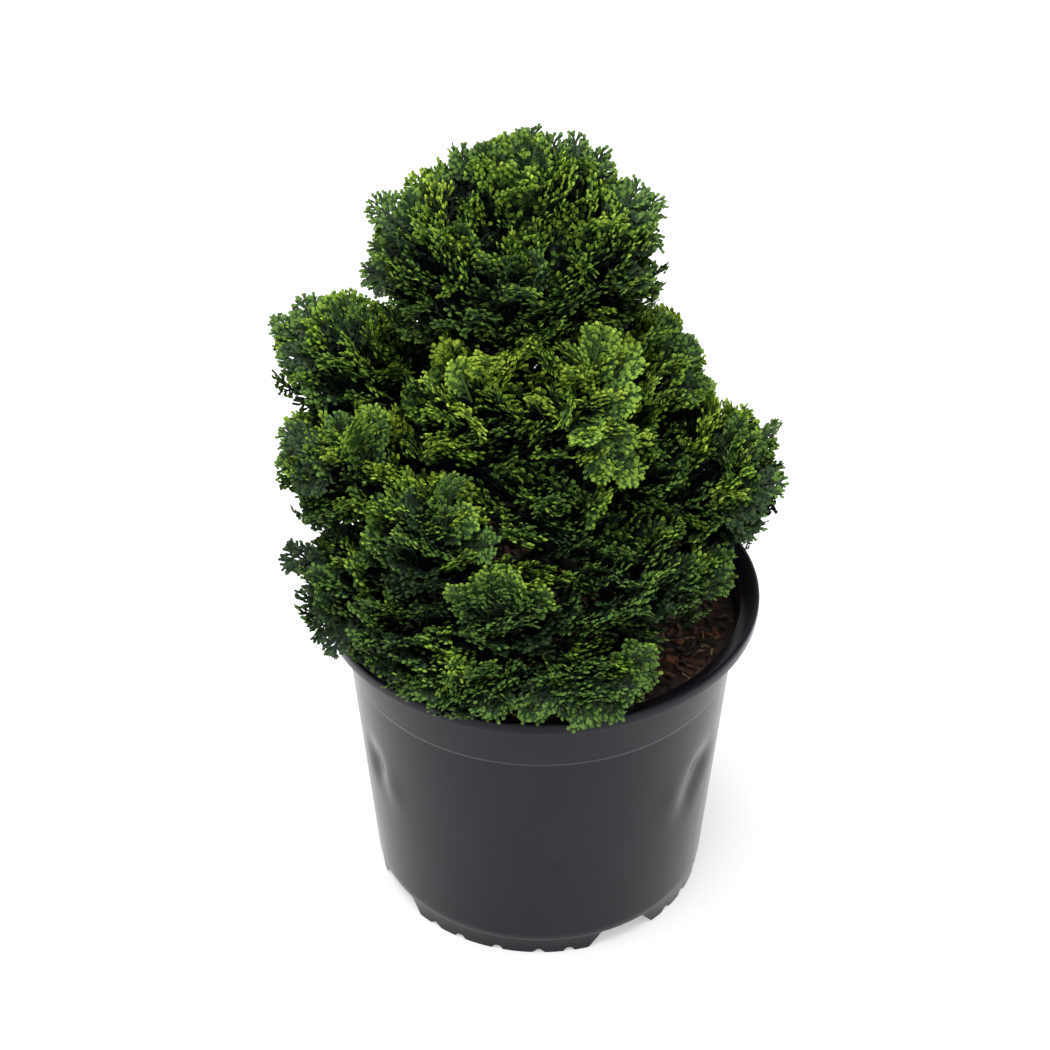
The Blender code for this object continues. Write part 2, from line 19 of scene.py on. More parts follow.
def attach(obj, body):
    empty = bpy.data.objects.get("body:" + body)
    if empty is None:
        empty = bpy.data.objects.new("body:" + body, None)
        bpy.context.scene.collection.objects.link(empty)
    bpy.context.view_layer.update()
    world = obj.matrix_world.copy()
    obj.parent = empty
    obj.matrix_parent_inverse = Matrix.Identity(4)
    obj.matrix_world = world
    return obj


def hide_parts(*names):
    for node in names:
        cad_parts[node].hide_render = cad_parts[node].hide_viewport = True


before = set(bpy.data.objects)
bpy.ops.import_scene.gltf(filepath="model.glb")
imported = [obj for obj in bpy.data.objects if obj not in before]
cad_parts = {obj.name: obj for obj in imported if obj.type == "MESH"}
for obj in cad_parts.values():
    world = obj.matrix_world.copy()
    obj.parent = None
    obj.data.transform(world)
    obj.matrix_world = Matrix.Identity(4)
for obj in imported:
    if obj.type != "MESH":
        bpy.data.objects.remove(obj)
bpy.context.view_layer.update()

# Camera, fitted to the pot's lip, shoulder line and foot
CAMERA_ELEVATION = math.radians(35.4)
CAMERA_DISTANCE = 1.0
CAMERA_AIM = (-0.0068, 0.0, 0.1813)
CAMERA_LENS = 80.26
CAMERA_SENSOR = 36.0

# Stage
FLOOR_HALF = 8.0
FLOOR_DROP = 0.0002
BACKDROP_RADIUS = 6.0
BACKDROP_HEIGHT = 3.0
BACKDROP_SUNK = 0.1

# Pot
POT_HEIGHT = 0.150
POT_COLUMNS = 360
WALL = 0.0012
LIP_RADIUS = 0.095
LIP_DROP = 0.0057
LIP_BEAD_WIDTH = 0.0016
LIP_BAND_DIP = 0.0012
LIP_HOLLOW = 1.6
BEAD_ROUND = 0.7
BEAD_TURN = 0.86
BEAD_STEPS = 8
ROUNDING = 0.0006
NECK_EASE = 0.0004
NECK_GAP = 0.004
LEDGE_GAP = 0.001
CREASE = 0.0003
HAIR = 0.00001
NECK_RADIUS = 0.0880
NECK_DROP = 0.0042
SHOULDER_RADIUS = 0.0842
SHOULDER_HEIGHT = 0.1195
SHOULDER_LEDGE = 0.0006
FOOT_RADIUS = 0.0740
FOOT_STEP_HEIGHT = 0.0086
FOOT_STEP = 0.0006
FLOOR_DISC_RADIUS = 0.046
FLOOR_SLOPE = 0.006
FLOOR_RISE = 0.0082
WALL_ROW = 0.003
ARCH_TURN = 30.0
ARCH_FOOT_HALF = 13.0
ARCH_TOP_HALF = 8.2
ARCH_HEIGHT = 0.0074
NOTCH_FOOT_HALF = 1.9
NOTCH_TOP_HALF = 0.9
NOTCH_HEIGHT = 0.0019
NOTCH_TURNS = (20.5, 31.0, 45.0, 59.5, 70.0)
DRAIN_RADIUS = 0.0050
DRAIN_PLACE = 0.0610
DRAIN_SIDES = 40

# Dents in the wall: turn from the front in degrees, height, half width, half height, depth
DENTS = (
    (-63.0, 0.080, 5.0, 0.010, 0.0021),
    (-53.0, 0.074, 4.5, 0.010, -0.0006),
    (60.0, 0.082, 6.0, 0.009, 0.0023),
    (54.0, 0.071, 5.0, 0.010, 0.0014),
    (45.0, 0.074, 5.0, 0.011, -0.0005),
    (5.0, 0.060, 1.8, 0.0045, 0.0005),
    (150.0, 0.060, 10.0, 0.014, 0.0012),
)

# Soil
SOIL_LEVEL = 0.137
SOIL_GAP = 0.0004
SOIL_RELIEF = 0.0022
SOIL_SUNK = 0.0012
SOIL_LUMPS = 60.0
SOIL_CRUMBS = 260.0
SOIL_FALL = 0.0014
SOIL_FALL_FROM = 0.066
SOIL_FALL_OVER = 0.02
SOIL_COLUMNS = 220
SOIL_RINGS = 56
SOIL_WALL_ROWS = 32
CHIPS = 1500
CHIPS_IN = 0.005
CHIP_KINDS = {"chip_dark": 0.40, "chip_brown": 0.32, "chip_red": 0.16, "chip_tan": 0.12}

# Trunk
SEAT_GAP = 0.0003
TRUNK_FOOT = SOIL_LEVEL + SEAT_GAP
TRUNK_TIP = 0.318
TRUNK_LEAN = (-0.006, 0.001)
TRUNK_SWAY = 0.0025
TRUNK_FOOT_RADIUS = 0.0068
TRUNK_TIP_RADIUS = 0.0020
FLARE = 0.0036
FLARE_HEIGHT = 0.0060
FLARE_ROOTS = 4
FLARE_LOBE = 0.30

# Boughs and stems
BOUGH_ROOT_RADIUS = 0.0030
BOUGH_TIP_RADIUS = 0.0015
BOUGH_SAG = 0.14
BOUGH_REACH_IN = 0.86
BOUGH_PRESS_ON = 0.02
SPACE_MARGIN = 0.030
STEM_RADIUS = 0.0013
BARK_FISSURES = 3.0
BARK_GRAIN = 129.9038

# Foliage masses, as in the solids
SPRAYS_PER_REACH = 440
SPRAY_TWIST = math.radians(35)
FACING_BACK = 0.80
GOLDEN_TURN = math.pi * (3.0 - math.sqrt(5.0))
LIMB_CLEARANCE = 0.0004
POT_CLEARANCE = 0.0008

# Name and tone, which paints light and shade on the mass; in millimetres centre, reach and where
# the bough leaves the trunk
MASS_ROWS = (
    ("top_back", "mid", -8, 20, 322, 45, 31, 34, 288),
    ("top_left", "mid", -40, 5, 306, 33, 33, 37, 262),
    ("top_right", "mid", 21, 5, 306, 31, 33, 36, 270),
    ("top_front", "deep", -9, -14, 302, 36, 30, 31, 254),
    ("left_high", "mid", -80, 18, 252, 35, 33, 30, 206),
    ("left_mid", "fresh", -75, -13, 218, 36, 33, 33, 184),
    ("left_low", "deep", -69, -35, 176, 36, 33, 28, 151),
    ("dome_left", "fresh", -24, -25, 253, 34, 34, 39, 218),
    ("dome_right", "fresh", 16, -25, 255, 32, 34, 39, 226),
    ("right_high", "fresh", 41, 12, 246, 30, 32, 36, 208),
    ("right_mid", "mid", 70, -4, 208, 34, 35, 37, 162),
    ("front_left", "mid", -43, -54, 212, 31, 29, 31, 178),
    ("front_left_low", "deep", -48, -62, 175, 31, 29, 28, 161),
    ("front_high", "deep", -2, -46, 219, 34, 30, 32, 190),
    ("front_mid", "mid", -12, -67, 190, 34, 29, 27, 171),
    ("front_low_left", "mid", -25, -78, 164, 36, 26, 19, 145),
    ("front_low", "mid", 18, -80, 165, 30, 25, 19, 151),
    ("front_right", "deep", 33, -54, 191, 35, 33, 30, 167),
    ("right_low", "mid", 52, -26, 179, 29, 31, 24, 155),
    ("right_inner", "deep", 43, -14, 218, 25, 31, 29, 196),
    ("back_high", "mid", -16, 45, 268, 39, 33, 37, 234),
    ("back_left", "deep", -56, 45, 207, 38, 38, 40, 170),
    ("back_mid", "mid", -2, 59, 214, 39, 34, 40, 190),
    ("back_right", "mid", 45, 46, 205, 38, 36, 40, 178),
    ("back_low_left", "deep", -32, 63, 170, 38, 30, 22, 150),
    ("back_low_right", "deep", 32, 64, 168, 38, 30, 21, 152),
)

# Fans: side branches off the axis, branchlets off the sides, twiglets off the branchlets
FAN_BACK = 0.78
FAN_REACH = 1.0
FAN_BARE = 0.24
RIM_JITTER = 0.05
BLEND = 0.55
INTERLEAVE = 0.14
FAN_CUP = 0.30
CUP_ACROSS = 1.6
CUP_BACK = 0.35
FAN_BEND = 0.22
STEEP = 0.05
SHOOT_LENGTHS = (0.82, 1.12)
SHOOT_TURNS = (0.86, 1.14)
SHOOT_STEPS = (0.85, 1.15)
LET_FROM = 0.0016
TWIGLET_FROM = 0.0054
TWIGLET_LENGTH = 0.0031
TWIGLET_TURN = math.radians(36)
TWIGLET_PLACE = 0.45
TWIGLET_LENGTHS = (0.8, 1.15)
HALF_WIDTH = 0.00105
HALF_THICK = 0.00072
INNER_ROOT = 0.08
INNER_TO = 0.66
INNER_HALF_WIDTH = 0.0012
HIDDEN_DEPTH = 0.012
DROPPED_DEPTH = 0.030
FAN_SCALE = 0.84
LEAST_BRANCH = 0.0016
TRIM_SHARES = (0.35, 0.55, 0.75, 1.0)
BRANCHLET_SIZES = (0.88, 1.12)
LEAF_ROLL = 1.3
PIECE_TRIANGLES = 190000
VIEWS = ((math.radians(4), 12), (math.radians(38), 10), (math.radians(80), 1))

# Shoots: step between them, turn off the parent, bend, longest, share of what is left, lift
Kind = namedtuple("Kind", "step turn bend longest share rise order")
SIDES = Kind(0.0023, math.radians(45), math.radians(-14), 0.016, 0.80, math.radians(24), 1)
LETS = Kind(0.0018, math.radians(42), math.radians(-16), 0.0066, 0.55, math.radians(30), 2)
INNER = Kind(0.0024, math.radians(52), 0.0, 0.0085, 0.80, math.radians(65), 4)

# Kinds of fan: how many to one of the solids' sprays, leafy length, least and most reach
FAN_KINDS = (
    (1.0, 0.026, 0.93, 1.00),
    (1.8, 0.019, 0.85, 0.98),
    (2.8, 0.015, 0.74, 0.91),
)
LYING_FANS = 2.0
LYING_REACH = (0.90, 1.00)
LYING_ROOT = 0.60
LYING_FALL = 0.42
LYING_SCALE = 0.70
LYING_ROOT_LEVEL = 0.9

# Tone of a fan, from 0 for painted shade to 3 for new growth in painted light
# Masses in the crown's shade are darker and masses in its light lighter: painted shade and painted
# light, dealt per mass
MASS_TONE = {"deep": 1.2, "mid": 1.6, "fresh": 2.0}
# Lighter towards the top of a mass: painted light from above
PAINTED_TOP_LIGHT = 0.8
TONE_SPREAD = 0.40
BODY_DROP = 0.45
OUTER_BODY_DROP = -0.10
# Depth under foliage over which branches darken, and the depth to which tips stay lit: painted
# shade of the crown's inside
SHADE_DEPTH = 0.009
TIP_LIT = 0.001

# Painted light and shade at places of the crown, lighter on lit rims of new growth and darker in
# shadow under and between masses: place and radius in millimetres, change of tone
PAINTED_LIGHT_AND_SHADE_PLACES = (
    (-34, -20, 330, 16, 0.7), (-60, 0, 335, 14, 0.4), (-30, -37, 289, 15, 1.6),
    (-5, -35, 292, 16, 1.7), (21, -29, 293, 15, 1.4), (34, -50, 269, 14, 1.1),
    (28, -56, 246, 12, 1.0), (-44, -49, 268, 12, 1.0), (-77, -30, 248, 12, 1.5),
    (-68, -36, 240, 10, 1.1), (89, -11, 238, 14, 1.0), (75, -29, 233, 14, 1.0),
    (-40, -54, 243, 11, 1.2), (-25, -64, 235, 11, 1.0), (-19, -72, 224, 10, 0.7),
    (-30, -80, 216, 12, 1.1), (-5, -80, 213, 13, 1.3), (-38, -92, 178, 12, 1.1),
    (-25, -94, 186, 10, 0.8), (-47, -98, 165, 12, 0.7), (43, -83, 177, 12, 1.2),
    (34, -98, 166, 11, 1.0), (15, -104, 158, 10, 0.7), (-102, 14, 275, 13, 0.5),
    (-8, -59, 248, 17, -0.9), (-35, -33, 291, 15, -1.2), (-23, -39, 315, 17, -0.5),
    (-54, -30, 266, 12, -1.0), (-43, -83, 205, 13, -0.7), (21, -74, 213, 16, -0.8),
    (9, -89, 195, 11, -0.7), (57, -31, 237, 15, -0.8), (-42, -85, 203, 30, -1.0),
    (20, -100, 160, 35, -0.9), (-36, -100, 165, 30, -0.5), (-10, -88, 198, 25, -0.4),
    (95, -10, 205, 35, -0.4), (-95, -20, 222, 30, -0.4), (-95, -20, 165, 35, -0.5),
    (40, -80, 180, 30, -0.5), (-6, -45, 300, 25, -0.5), (0, -50, 285, 30, 0.4),
)

# Sprays that stand out in the photograph: foot and tip in millimetres, and tone
# The tone of each spray carries painted light and shade along with its own colour
PLACED_SPRAYS = {
    "left_mid": (
        (-84, -26, 212, -98, -30, 199, 1.2), (-80, -30, 208, -87, -35, 195, 1.2),
        (-88, -15, 210, -104, -20, 202, 1.2), (-71, -34, 235, -80, -32, 262, 2.5),
        (-69, -35, 233, -65, -12, 256, 2.3), (-74, -31, 239, -87, -14, 250, 1.8),
        (-92, -29, 235, -109, -18, 226, 1.3), (-92, -25, 239, -108, -6, 235, 1.4),
        (-90, -33, 232, -103, -33, 223, 1.1),
    ),
    "front_left": (
        (-35, -67, 232, -38, -56, 252, 2.2), (-38, -71, 229, -23, -63, 236, 2.3),
        (-43, -71, 229, -59, -54, 238, 1.3), (-30, -73, 220, -13, -74, 224, 1.8),
    ),
    "front_mid": (
        (-24, -84, 201, -21, -73, 220, 2.5), (-14, -86, 202, -7, -76, 219, 2.5),
        (-11, -87, 201, 6, -79, 210, 2.5), (-27, -85, 199, -37, -82, 217, 2.3),
    ),
    "dome_left": (
        (-31, -44, 276, -36, -33, 288, 3.4), (-20, -40, 281, -21, -42, 299, 3.6),
        (-11, -36, 281, -10, -44, 305, 3.6), (-38, -49, 262, -44, -44, 275, 3.3),
        (-40, -50, 252, -45, -51, 262, 3.1),
    ),
    "dome_right": (
        (2, -37, 281, 0, -43, 304, 3.2), (12, -40, 283, 14, -37, 299, 3.1),
        (21, -38, 284, 26, -27, 302, 3.2), (28, -42, 278, 39, -20, 282, 3.0),
        (24, -49, 268, 41, -38, 274, 2.9), (24, -53, 257, 40, -47, 259, 2.6),
        (26, -52, 253, 40, -41, 232, 2.7), (18, -54, 258, 26, -53, 237, 2.7),
        (12, -51, 267, 21, -59, 257, 2.6), (5, -44, 276, 15, -57, 268, 3.0),
    ),
    "right_mid": (
        (84, -23, 227, 97, 8, 234, 2.2), (77, -22, 231, 80, -4, 243, 1.9),
        (82, -22, 229, 87, -9, 240, 2.3), (81, -26, 226, 72, -30, 232, 2.2),
        (86, -27, 218, 102, -15, 213, 1.6), (82, -30, 216, 94, -29, 205, 1.2),
        (77, -33, 212, 89, -30, 194, 1.2),
    ),
    "front_low": (
        (33, -89, 174, 46, -85, 189, 2.2), (33, -92, 172, 48, -78, 167, 2.2),
        (30, -95, 170, 43, -94, 165, 1.9), (25, -98, 168, 31, -97, 153, 1.7),
        (18, -99, 167, 13, -102, 150, 1.9), (20, -99, 167, 22, -100, 151, 1.7),
        (12, -97, 170, 4, -99, 157, 1.3), (6, -97, 170, -5, -101, 153, 1.6),
        (2, -96, 171, -12, -99, 156, 1.5),
    ),
    "front_low_left": (
        (-30, -96, 169, -39, -89, 182, 2.3), (-27, -95, 170, -24, -94, 189, 2.2),
        (-40, -92, 170, -53, -93, 160, 1.8), (-37, -95, 168, -36, -102, 161, 1.8),
        (-21, -96, 169, -13, -101, 159, 1.5), (-22, -96, 169, -17, -101, 154, 1.6),
        (-27, -97, 168, -22, -103, 161, 1.5),
    ),
    "top_back": (
        (-7, 7, 347, -5, 33, 354, 1.9), (2, 8, 347, 5, 27, 353, 1.9),
        (-20, 6, 344, -24, 20, 354, 1.9), (-27, 5, 341, -35, 22, 349, 1.8),
        (12, 9, 344, 16, 31, 350, 1.9), (16, 9, 341, 26, 29, 344, 1.9),
    ),
    "top_right": (
        (34, -7, 330, 49, 13, 329, 1.9), (29, -6, 333, 41, 16, 335, 1.9),
        (35, -11, 325, 48, 0, 322, 1.8), (32, -19, 313, 44, -17, 305, 1.3),
    ),
    "top_left": (
        (-55, -10, 328, -70, 12, 329, 1.9), (-50, -8, 332, -56, 6, 339, 2.0),
        (-36, -3, 337, -43, 14, 343, 1.9), (-53, -15, 322, -70, -2, 319, 1.7),
        (-57, -16, 315, -72, 0, 300, 1.3), (-34, -17, 323, -37, -13, 337, 2.2),
        (-31, -17, 322, -26, -11, 334, 2.2),
    ),
    "top_front": (
        (-9, -31, 320, 5, -28, 327, 1.5), (-17, -32, 318, -10, -34, 325, 1.3),
    ),
    "left_high": (
        (-93, 4, 271, -101, 32, 275, 1.9), (-84, 6, 274, -82, 25, 281, 1.9),
        (-96, 3, 268, -112, 26, 268, 1.7), (-94, -2, 265, -111, 5, 259, 1.4),
        (-76, 4, 273, -71, 16, 281, 1.7),
    ),
    "left_low": (
        (-94, -37, 192, -109, -27, 188, 1.0), (-86, -55, 185, -100, -44, 187, 1.2),
        (-86, -58, 179, -96, -57, 179, 1.2), (-81, -61, 173, -86, -60, 155, 0.9),
        (-85, -60, 174, -96, -53, 162, 0.9),
    ),
    "right_low": (
        (70, -42, 186, 81, -33, 192, 1.5), (65, -45, 185, 80, -36, 174, 1.5),
    ),
    "right_high": (
        (42, -4, 270, 43, -17, 297, 2.3), (48, -4, 269, 56, 14, 277, 2.1),
        (54, -6, 264, 64, 11, 269, 1.9), (55, -9, 254, 70, 4, 250, 1.8),
    ),
}
PLACED_BARE = 0.06
PLACED_SCALE = 0.66
PLACED_SHORTER = 0.86
PLACED_DEEPER = 0.010
PLACED_DROP = 0.85
PLACED_LIMIT = 1.45
UNION_LIMIT = 1.05
TONE_AHEAD = 0.9

# Leaf colours in steps from dark to light; the step each branch takes carries painted light and
# shade as well as the foliage's own variation
BODY_COLOURS = {
    "shade": (0.0110, 0.0210, 0.0110),
    "deep": (0.0210, 0.0450, 0.0140),
    "mid": (0.0480, 0.0950, 0.0200),
    "fresh": (0.1150, 0.1950, 0.0260),
}
TIP_COLOURS = {
    "dull": (0.0280, 0.0560, 0.0180),
    "green": (0.0820, 0.1580, 0.0270),
    "bright": (0.1900, 0.3150, 0.0360),
    "yellow": (0.3400, 0.4800, 0.0480),
}


# Places in the frame

def metres(numbers):
    return tuple(number / 1000.0 for number in numbers)


Mass = namedtuple("Mass", "name tone centre reach leaves_at")
MASSES = [
    Mass(name, tone, metres(rest[0:3]), metres(rest[3:6]), rest[6] / 1000.0)
    for name, tone, *rest in MASS_ROWS
]


def level_in(mass, point):
    """0 at the mass's centre and 1 at the edge of its reach."""
    offset = [(point[i] - mass.centre[i]) / mass.reach[i] for i in range(3)]
    return math.sqrt(sum(part * part for part in offset))


def trunk_axis(height):
    share = (height - TRUNK_FOOT) / (TRUNK_TIP - TRUNK_FOOT)
    sway = TRUNK_SWAY * math.sin(2.0 * math.pi * share)
    return Vector((TRUNK_LEAN[0] * share + sway, TRUNK_LEAN[1] * share, height))


def trunk_radius(height):
    share = (height - TRUNK_FOOT) / (TRUNK_TIP - TRUNK_FOOT)
    straight = TRUNK_FOOT_RADIUS + share * (TRUNK_TIP_RADIUS - TRUNK_FOOT_RADIUS)
    return straight + FLARE * math.exp(-(height - TRUNK_FOOT) / FLARE_HEIGHT)


def is_own(mass, point):
    """Whether a point is well within the mass's own space."""
    own = level_in(mass, point) + SPACE_MARGIN
    return all(other is mass or level_in(other, point) >= own for other in MASSES)


def mass_foot(mass):
    """Where the bough hands over to the mass's stem: as it enters the mass's own space."""
    centre = Vector(mass.centre)
    back = trunk_axis(mass.leaves_at) - centre
    share = BOUGH_REACH_IN / level_in(mass, centre + back)
    while share > BOUGH_PRESS_ON and not is_own(mass, centre + back * share):
        share -= BOUGH_PRESS_ON
    return centre + back * share


def bough_point(mass, share):
    start = trunk_axis(mass.leaves_at)
    end = mass_foot(mass)
    middle = (start + end) / 2.0 - Vector((0.0, 0.0, BOUGH_SAG * (end - start).length))
    return start * (1.0 - share) ** 2 + middle * (2.0 * share * (1.0 - share)) + end * share**2


def bough_radius(share):
    return BOUGH_ROOT_RADIUS + share * (BOUGH_TIP_RADIUS - BOUGH_ROOT_RADIUS)


def pot_inner_radius(height):
    neck_height = POT_HEIGHT - NECK_DROP
    if height > SHOULDER_HEIGHT:
        share = (height - SHOULDER_HEIGHT) / (neck_height - SHOULDER_HEIGHT)
        return SHOULDER_RADIUS + share * (NECK_RADIUS - SHOULDER_RADIUS) - WALL
    return FOOT_RADIUS + (height / SHOULDER_HEIGHT) * (SHOULDER_RADIUS - FOOT_RADIUS) - WALL


CENTRES = np.array([mass.centre for mass in MASSES])
REACHES = np.array([mass.reach for mass in MASSES])


def levels_at(points):
    """Level of each point in every mass."""
    return np.linalg.norm((points[:, None, :] - CENTRES[None]) / REACHES[None], axis=2)


def limb_stretches():
    """Every limb as straight stretches, for the clearance of twigs."""
    stretches = []
    heights = np.linspace(TRUNK_FOOT, TRUNK_TIP, 11)
    for low, high in zip(heights, heights[1:]):
        stretches.append((trunk_axis(low), trunk_axis(high), trunk_radius(low)))
    for mass in MASSES:
        for step in range(4):
            ends = bough_point(mass, step / 4.0), bough_point(mass, (step + 1) / 4.0)
            stretches.append((*ends, bough_radius(step / 4.0)))
    return stretches


STRETCHES = limb_stretches()
LIMB_START = np.array([tuple(one[0]) for one in STRETCHES])
LIMB_ALONG = np.array([tuple(one[1] - one[0]) for one in STRETCHES])
LIMB_RADIUS = np.array([one[2] for one in STRETCHES])


def in_own_space(points, owners, limits):
    """True where a point lies in its own mass's reach, nearest to that mass, off limbs and pot."""
    levels = levels_at(points)
    rows = np.arange(len(points))
    own = levels[rows, owners]
    levels[rows, owners] = np.inf
    nearest = levels.min(1)
    closeness = np.clip(1.0 - (nearest - own) / BLEND, 0.0, 1.0)
    fits = (own - 0.25 * BLEND * closeness**2 < limits) & (own < nearest + INTERLEAVE)
    in_union = np.minimum(own, nearest) < np.maximum(UNION_LIMIT, limits - 0.05)
    fits |= (limits > FAN_REACH) & in_union
    from_axis = np.hypot(points[:, 0], points[:, 1])
    over_lip = from_axis > pot_inner_radius(SOIL_LEVEL) - POT_CLEARANCE
    floor = np.where(over_lip, POT_HEIGHT, SOIL_LEVEL + SOIL_RELIEF) + POT_CLEARANCE
    fits &= points[:, 2] > floor
    for start, along, radius in zip(LIMB_START, LIMB_ALONG, LIMB_RADIUS):
        offset = points - start
        share = np.clip(offset @ along / (along @ along), 0.0, 1.0)
        away = np.linalg.norm(offset - share[:, None] * along, axis=1)
        fits &= away > radius + LIMB_CLEARANCE
    return fits


def cover_over(points):
    """Least depth of foliage between each point and the open, to the sides and above."""
    least = np.full(len(points), np.inf)
    offset = (points[:, None, :] - CENTRES[None]) / REACHES[None]
    constant = (offset**2).sum(-1) - 1.0
    for elevation, count in VIEWS:
        for step in range(count):
            turn = 2.0 * math.pi * (step + 0.5) / count
            flat = math.cos(elevation)
            way = np.array([flat * math.sin(turn), -flat * math.cos(turn), math.sin(elevation)])
            scaled = way / REACHES
            square = (scaled**2).sum(-1)
            slope = (offset * scaled[None]).sum(-1)
            spread = slope**2 - square * constant
            root = np.sqrt(np.maximum(spread, 0.0))
            far = np.maximum((root - slope) / square, 0.0)
            near = np.maximum((-root - slope) / square, 0.0)
            depth = np.where(spread > 0.0, far - near, 0.0).sum(1)
            least = np.minimum(least, depth)
    return least


# Growth of one fan in its own plane

Branch = namedtuple("Branch", "x y z turn bend length lift order")


def place_on(branch, share):
    """Position and heading part of the way along a branch."""
    half = branch.turn + branch.bend * share / 2.0
    reach = branch.length * share
    return (
        branch.x + reach * math.cos(half),
        branch.y + reach * math.sin(half),
        branch.z + reach * math.sin(branch.lift),
        branch.turn + branch.bend * share,
    )


def shoots(parent, dice, first, kind):
    """Alternate shoots along a branch, shorter towards its end."""
    found = []
    at = first
    side = dice.choice((-1.0, 1.0))
    while at < parent.length - LEAST_BRANCH:
        x, y, z, heading = place_on(parent, at / parent.length)
        length = min(kind.longest, kind.share * (parent.length - at) + LEAST_BRANCH * 1.5)
        length *= dice.uniform(*SHOOT_LENGTHS)
        turn = heading + side * (kind.turn * dice.uniform(*SHOOT_TURNS))
        lift = parent.lift * 0.5 + dice.uniform(-kind.rise, kind.rise)
        found.append(Branch(x, y, z, turn, side * kind.bend, length, lift, kind.order))
        side = -side
        at += kind.step * dice.uniform(*SHOOT_STEPS)
    return found


def grow_fan(length, bare, dice):
    """All branches of one fan: axis, sides, branchlets and twiglets."""
    bend = dice.uniform(-FAN_BEND, FAN_BEND)
    axis = Branch(0.0, 0.0, 0.0, -bend / 2.0, bend, length, 0.0, 0)
    branches = [axis]
    sides = shoots(axis, dice, length * bare, SIDES)
    inner = shoots(axis, dice, length * INNER_ROOT, INNER)
    branches += [leaf for leaf in inner if leaf.x < INNER_TO * length]
    for side in sides:
        branches.append(side)
        for let in shoots(side, dice, LET_FROM, LETS):
            branches.append(let)
            if let.length > TWIGLET_FROM:
                x, y, z, heading = place_on(let, TWIGLET_PLACE)
                turn = heading + dice.choice((-1.0, 1.0)) * TWIGLET_TURN
                short = TWIGLET_LENGTH * dice.uniform(*TWIGLET_LENGTHS)
                branches.append(Branch(x, y, z, turn, 0.0, short, let.lift, 3))
    return branches


def spray_frame(along, twist):
    """Across and up for a spray: its face looks as far up as its direction allows."""
    upright = Vector((0.0, 0.0, 1.0))
    face = upright - along * along.dot(upright)
    if face.length < STEEP:
        face = Vector((0.0, -1.0, 0.0))
    face.normalize()
    face.rotate(Matrix.Rotation(twist, 3, along))
    return face.cross(along), face


def spray_directions(mass, dice, finer=1.0):
    """Directions spread evenly by the golden turn, more of them in a larger mass."""
    count = round(finer * SPRAYS_PER_REACH * sum(mass.reach) / 3.0)
    phase = dice.uniform(0.0, 2.0 * math.pi)
    foot = mass_foot(mass) - Vector(mass.centre)
    backward = Vector([foot[i] / mass.reach[i] for i in range(3)]).normalized()
    for step in range(count):
        height = 1.0 - 2.0 * (step + 0.5) / count
        ring = math.sqrt(1.0 - height * height)
        turn = phase + step * GOLDEN_TURN
        way = Vector((ring * math.cos(turn), ring * math.sin(turn), height))
        if way.dot(backward) < FACING_BACK:
            yield Vector([way[i] * mass.reach[i] for i in range(3)])


Fan = namedtuple("Fan", "root along across face length bare limit owner tone scale")


def fan_tone(mass, way, dice):
    """Brightness dealt to a whole fan: painted light and shade by its mass, its rise in the mass
    and its place, and a random spread.
    """
    tone = MASS_TONE[mass.tone] + PAINTED_TOP_LIGHT * way.z / mass.reach[2]
    tone += dice.uniform(-TONE_SPREAD, TONE_SPREAD)
    end = Vector(mass.centre) + way
    # Painted light and shade of the fan's place
    for *place, radius, change in PAINTED_LIGHT_AND_SHADE_PLACES:
        away = end - Vector(metres(place))
        tone += change * math.exp(-away.length_squared / (radius / 1000.0) ** 2)
    return tone


def outward_of(mass, offset):
    """Direction square to the mass's surface above this offset from its centre."""
    return Vector([offset[i] / mass.reach[i] ** 2 for i in range(3)])


def facing(outward, along, dice):
    """Across and face of a spray turned outwards, with a little twist."""
    face = (outward - along * along.dot(outward)).normalized()
    face.rotate(Matrix.Rotation(dice.uniform(-SPRAY_TWIST, SPRAY_TWIST), 3, along))
    return face.cross(along), face


def placed_fans():
    """The sprays that stand out, each with its face turned outwards."""
    fans = []
    dice = random.Random(77)
    numbers = {mass.name: number for number, mass in enumerate(MASSES)}
    for name, rows in PLACED_SPRAYS.items():
        number = numbers[name]
        for row in rows:
            foot = Vector(row[0:3]) / 1000.0
            tip = Vector(row[3:6]) / 1000.0
            middle = (foot + tip) / 2.0 - Vector(MASSES[number].centre)
            outward = outward_of(MASSES[number], middle)
            root = foot - outward.normalized() * PLACED_DEEPER
            sweep = tip - root
            along = sweep.normalized()
            fans.append(Fan(
                root, along, *facing(outward, along, dice), sweep.length * PLACED_SHORTER,
                PLACED_BARE, PLACED_LIMIT, number, row[6] - PLACED_DROP, PLACED_SCALE,
            ))
    return fans


def lying_fans(number, dice, tones):
    """Fans that lie over the outside of a mass like shingles, pointing outwards and up."""
    fans = []
    mass = MASSES[number]
    centre = Vector(mass.centre)
    for way in spray_directions(mass, dice, LYING_FANS):
        limit = tones.uniform(*LYING_REACH)
        root = centre + way * LYING_ROOT
        root.z -= LYING_FALL * mass.reach[2]
        tone = fan_tone(mass, way, tones)
        if level_in(mass, root) > LYING_ROOT_LEVEL:
            continue
        sweep = centre + way * limit - root
        along = sweep.normalized()
        across, face = facing(outward_of(mass, way), along, dice)
        fans.append(Fan(
            root, along, across, face, sweep.length, FAN_BARE, limit, number, tone, LYING_SCALE,
        ))
    return fans


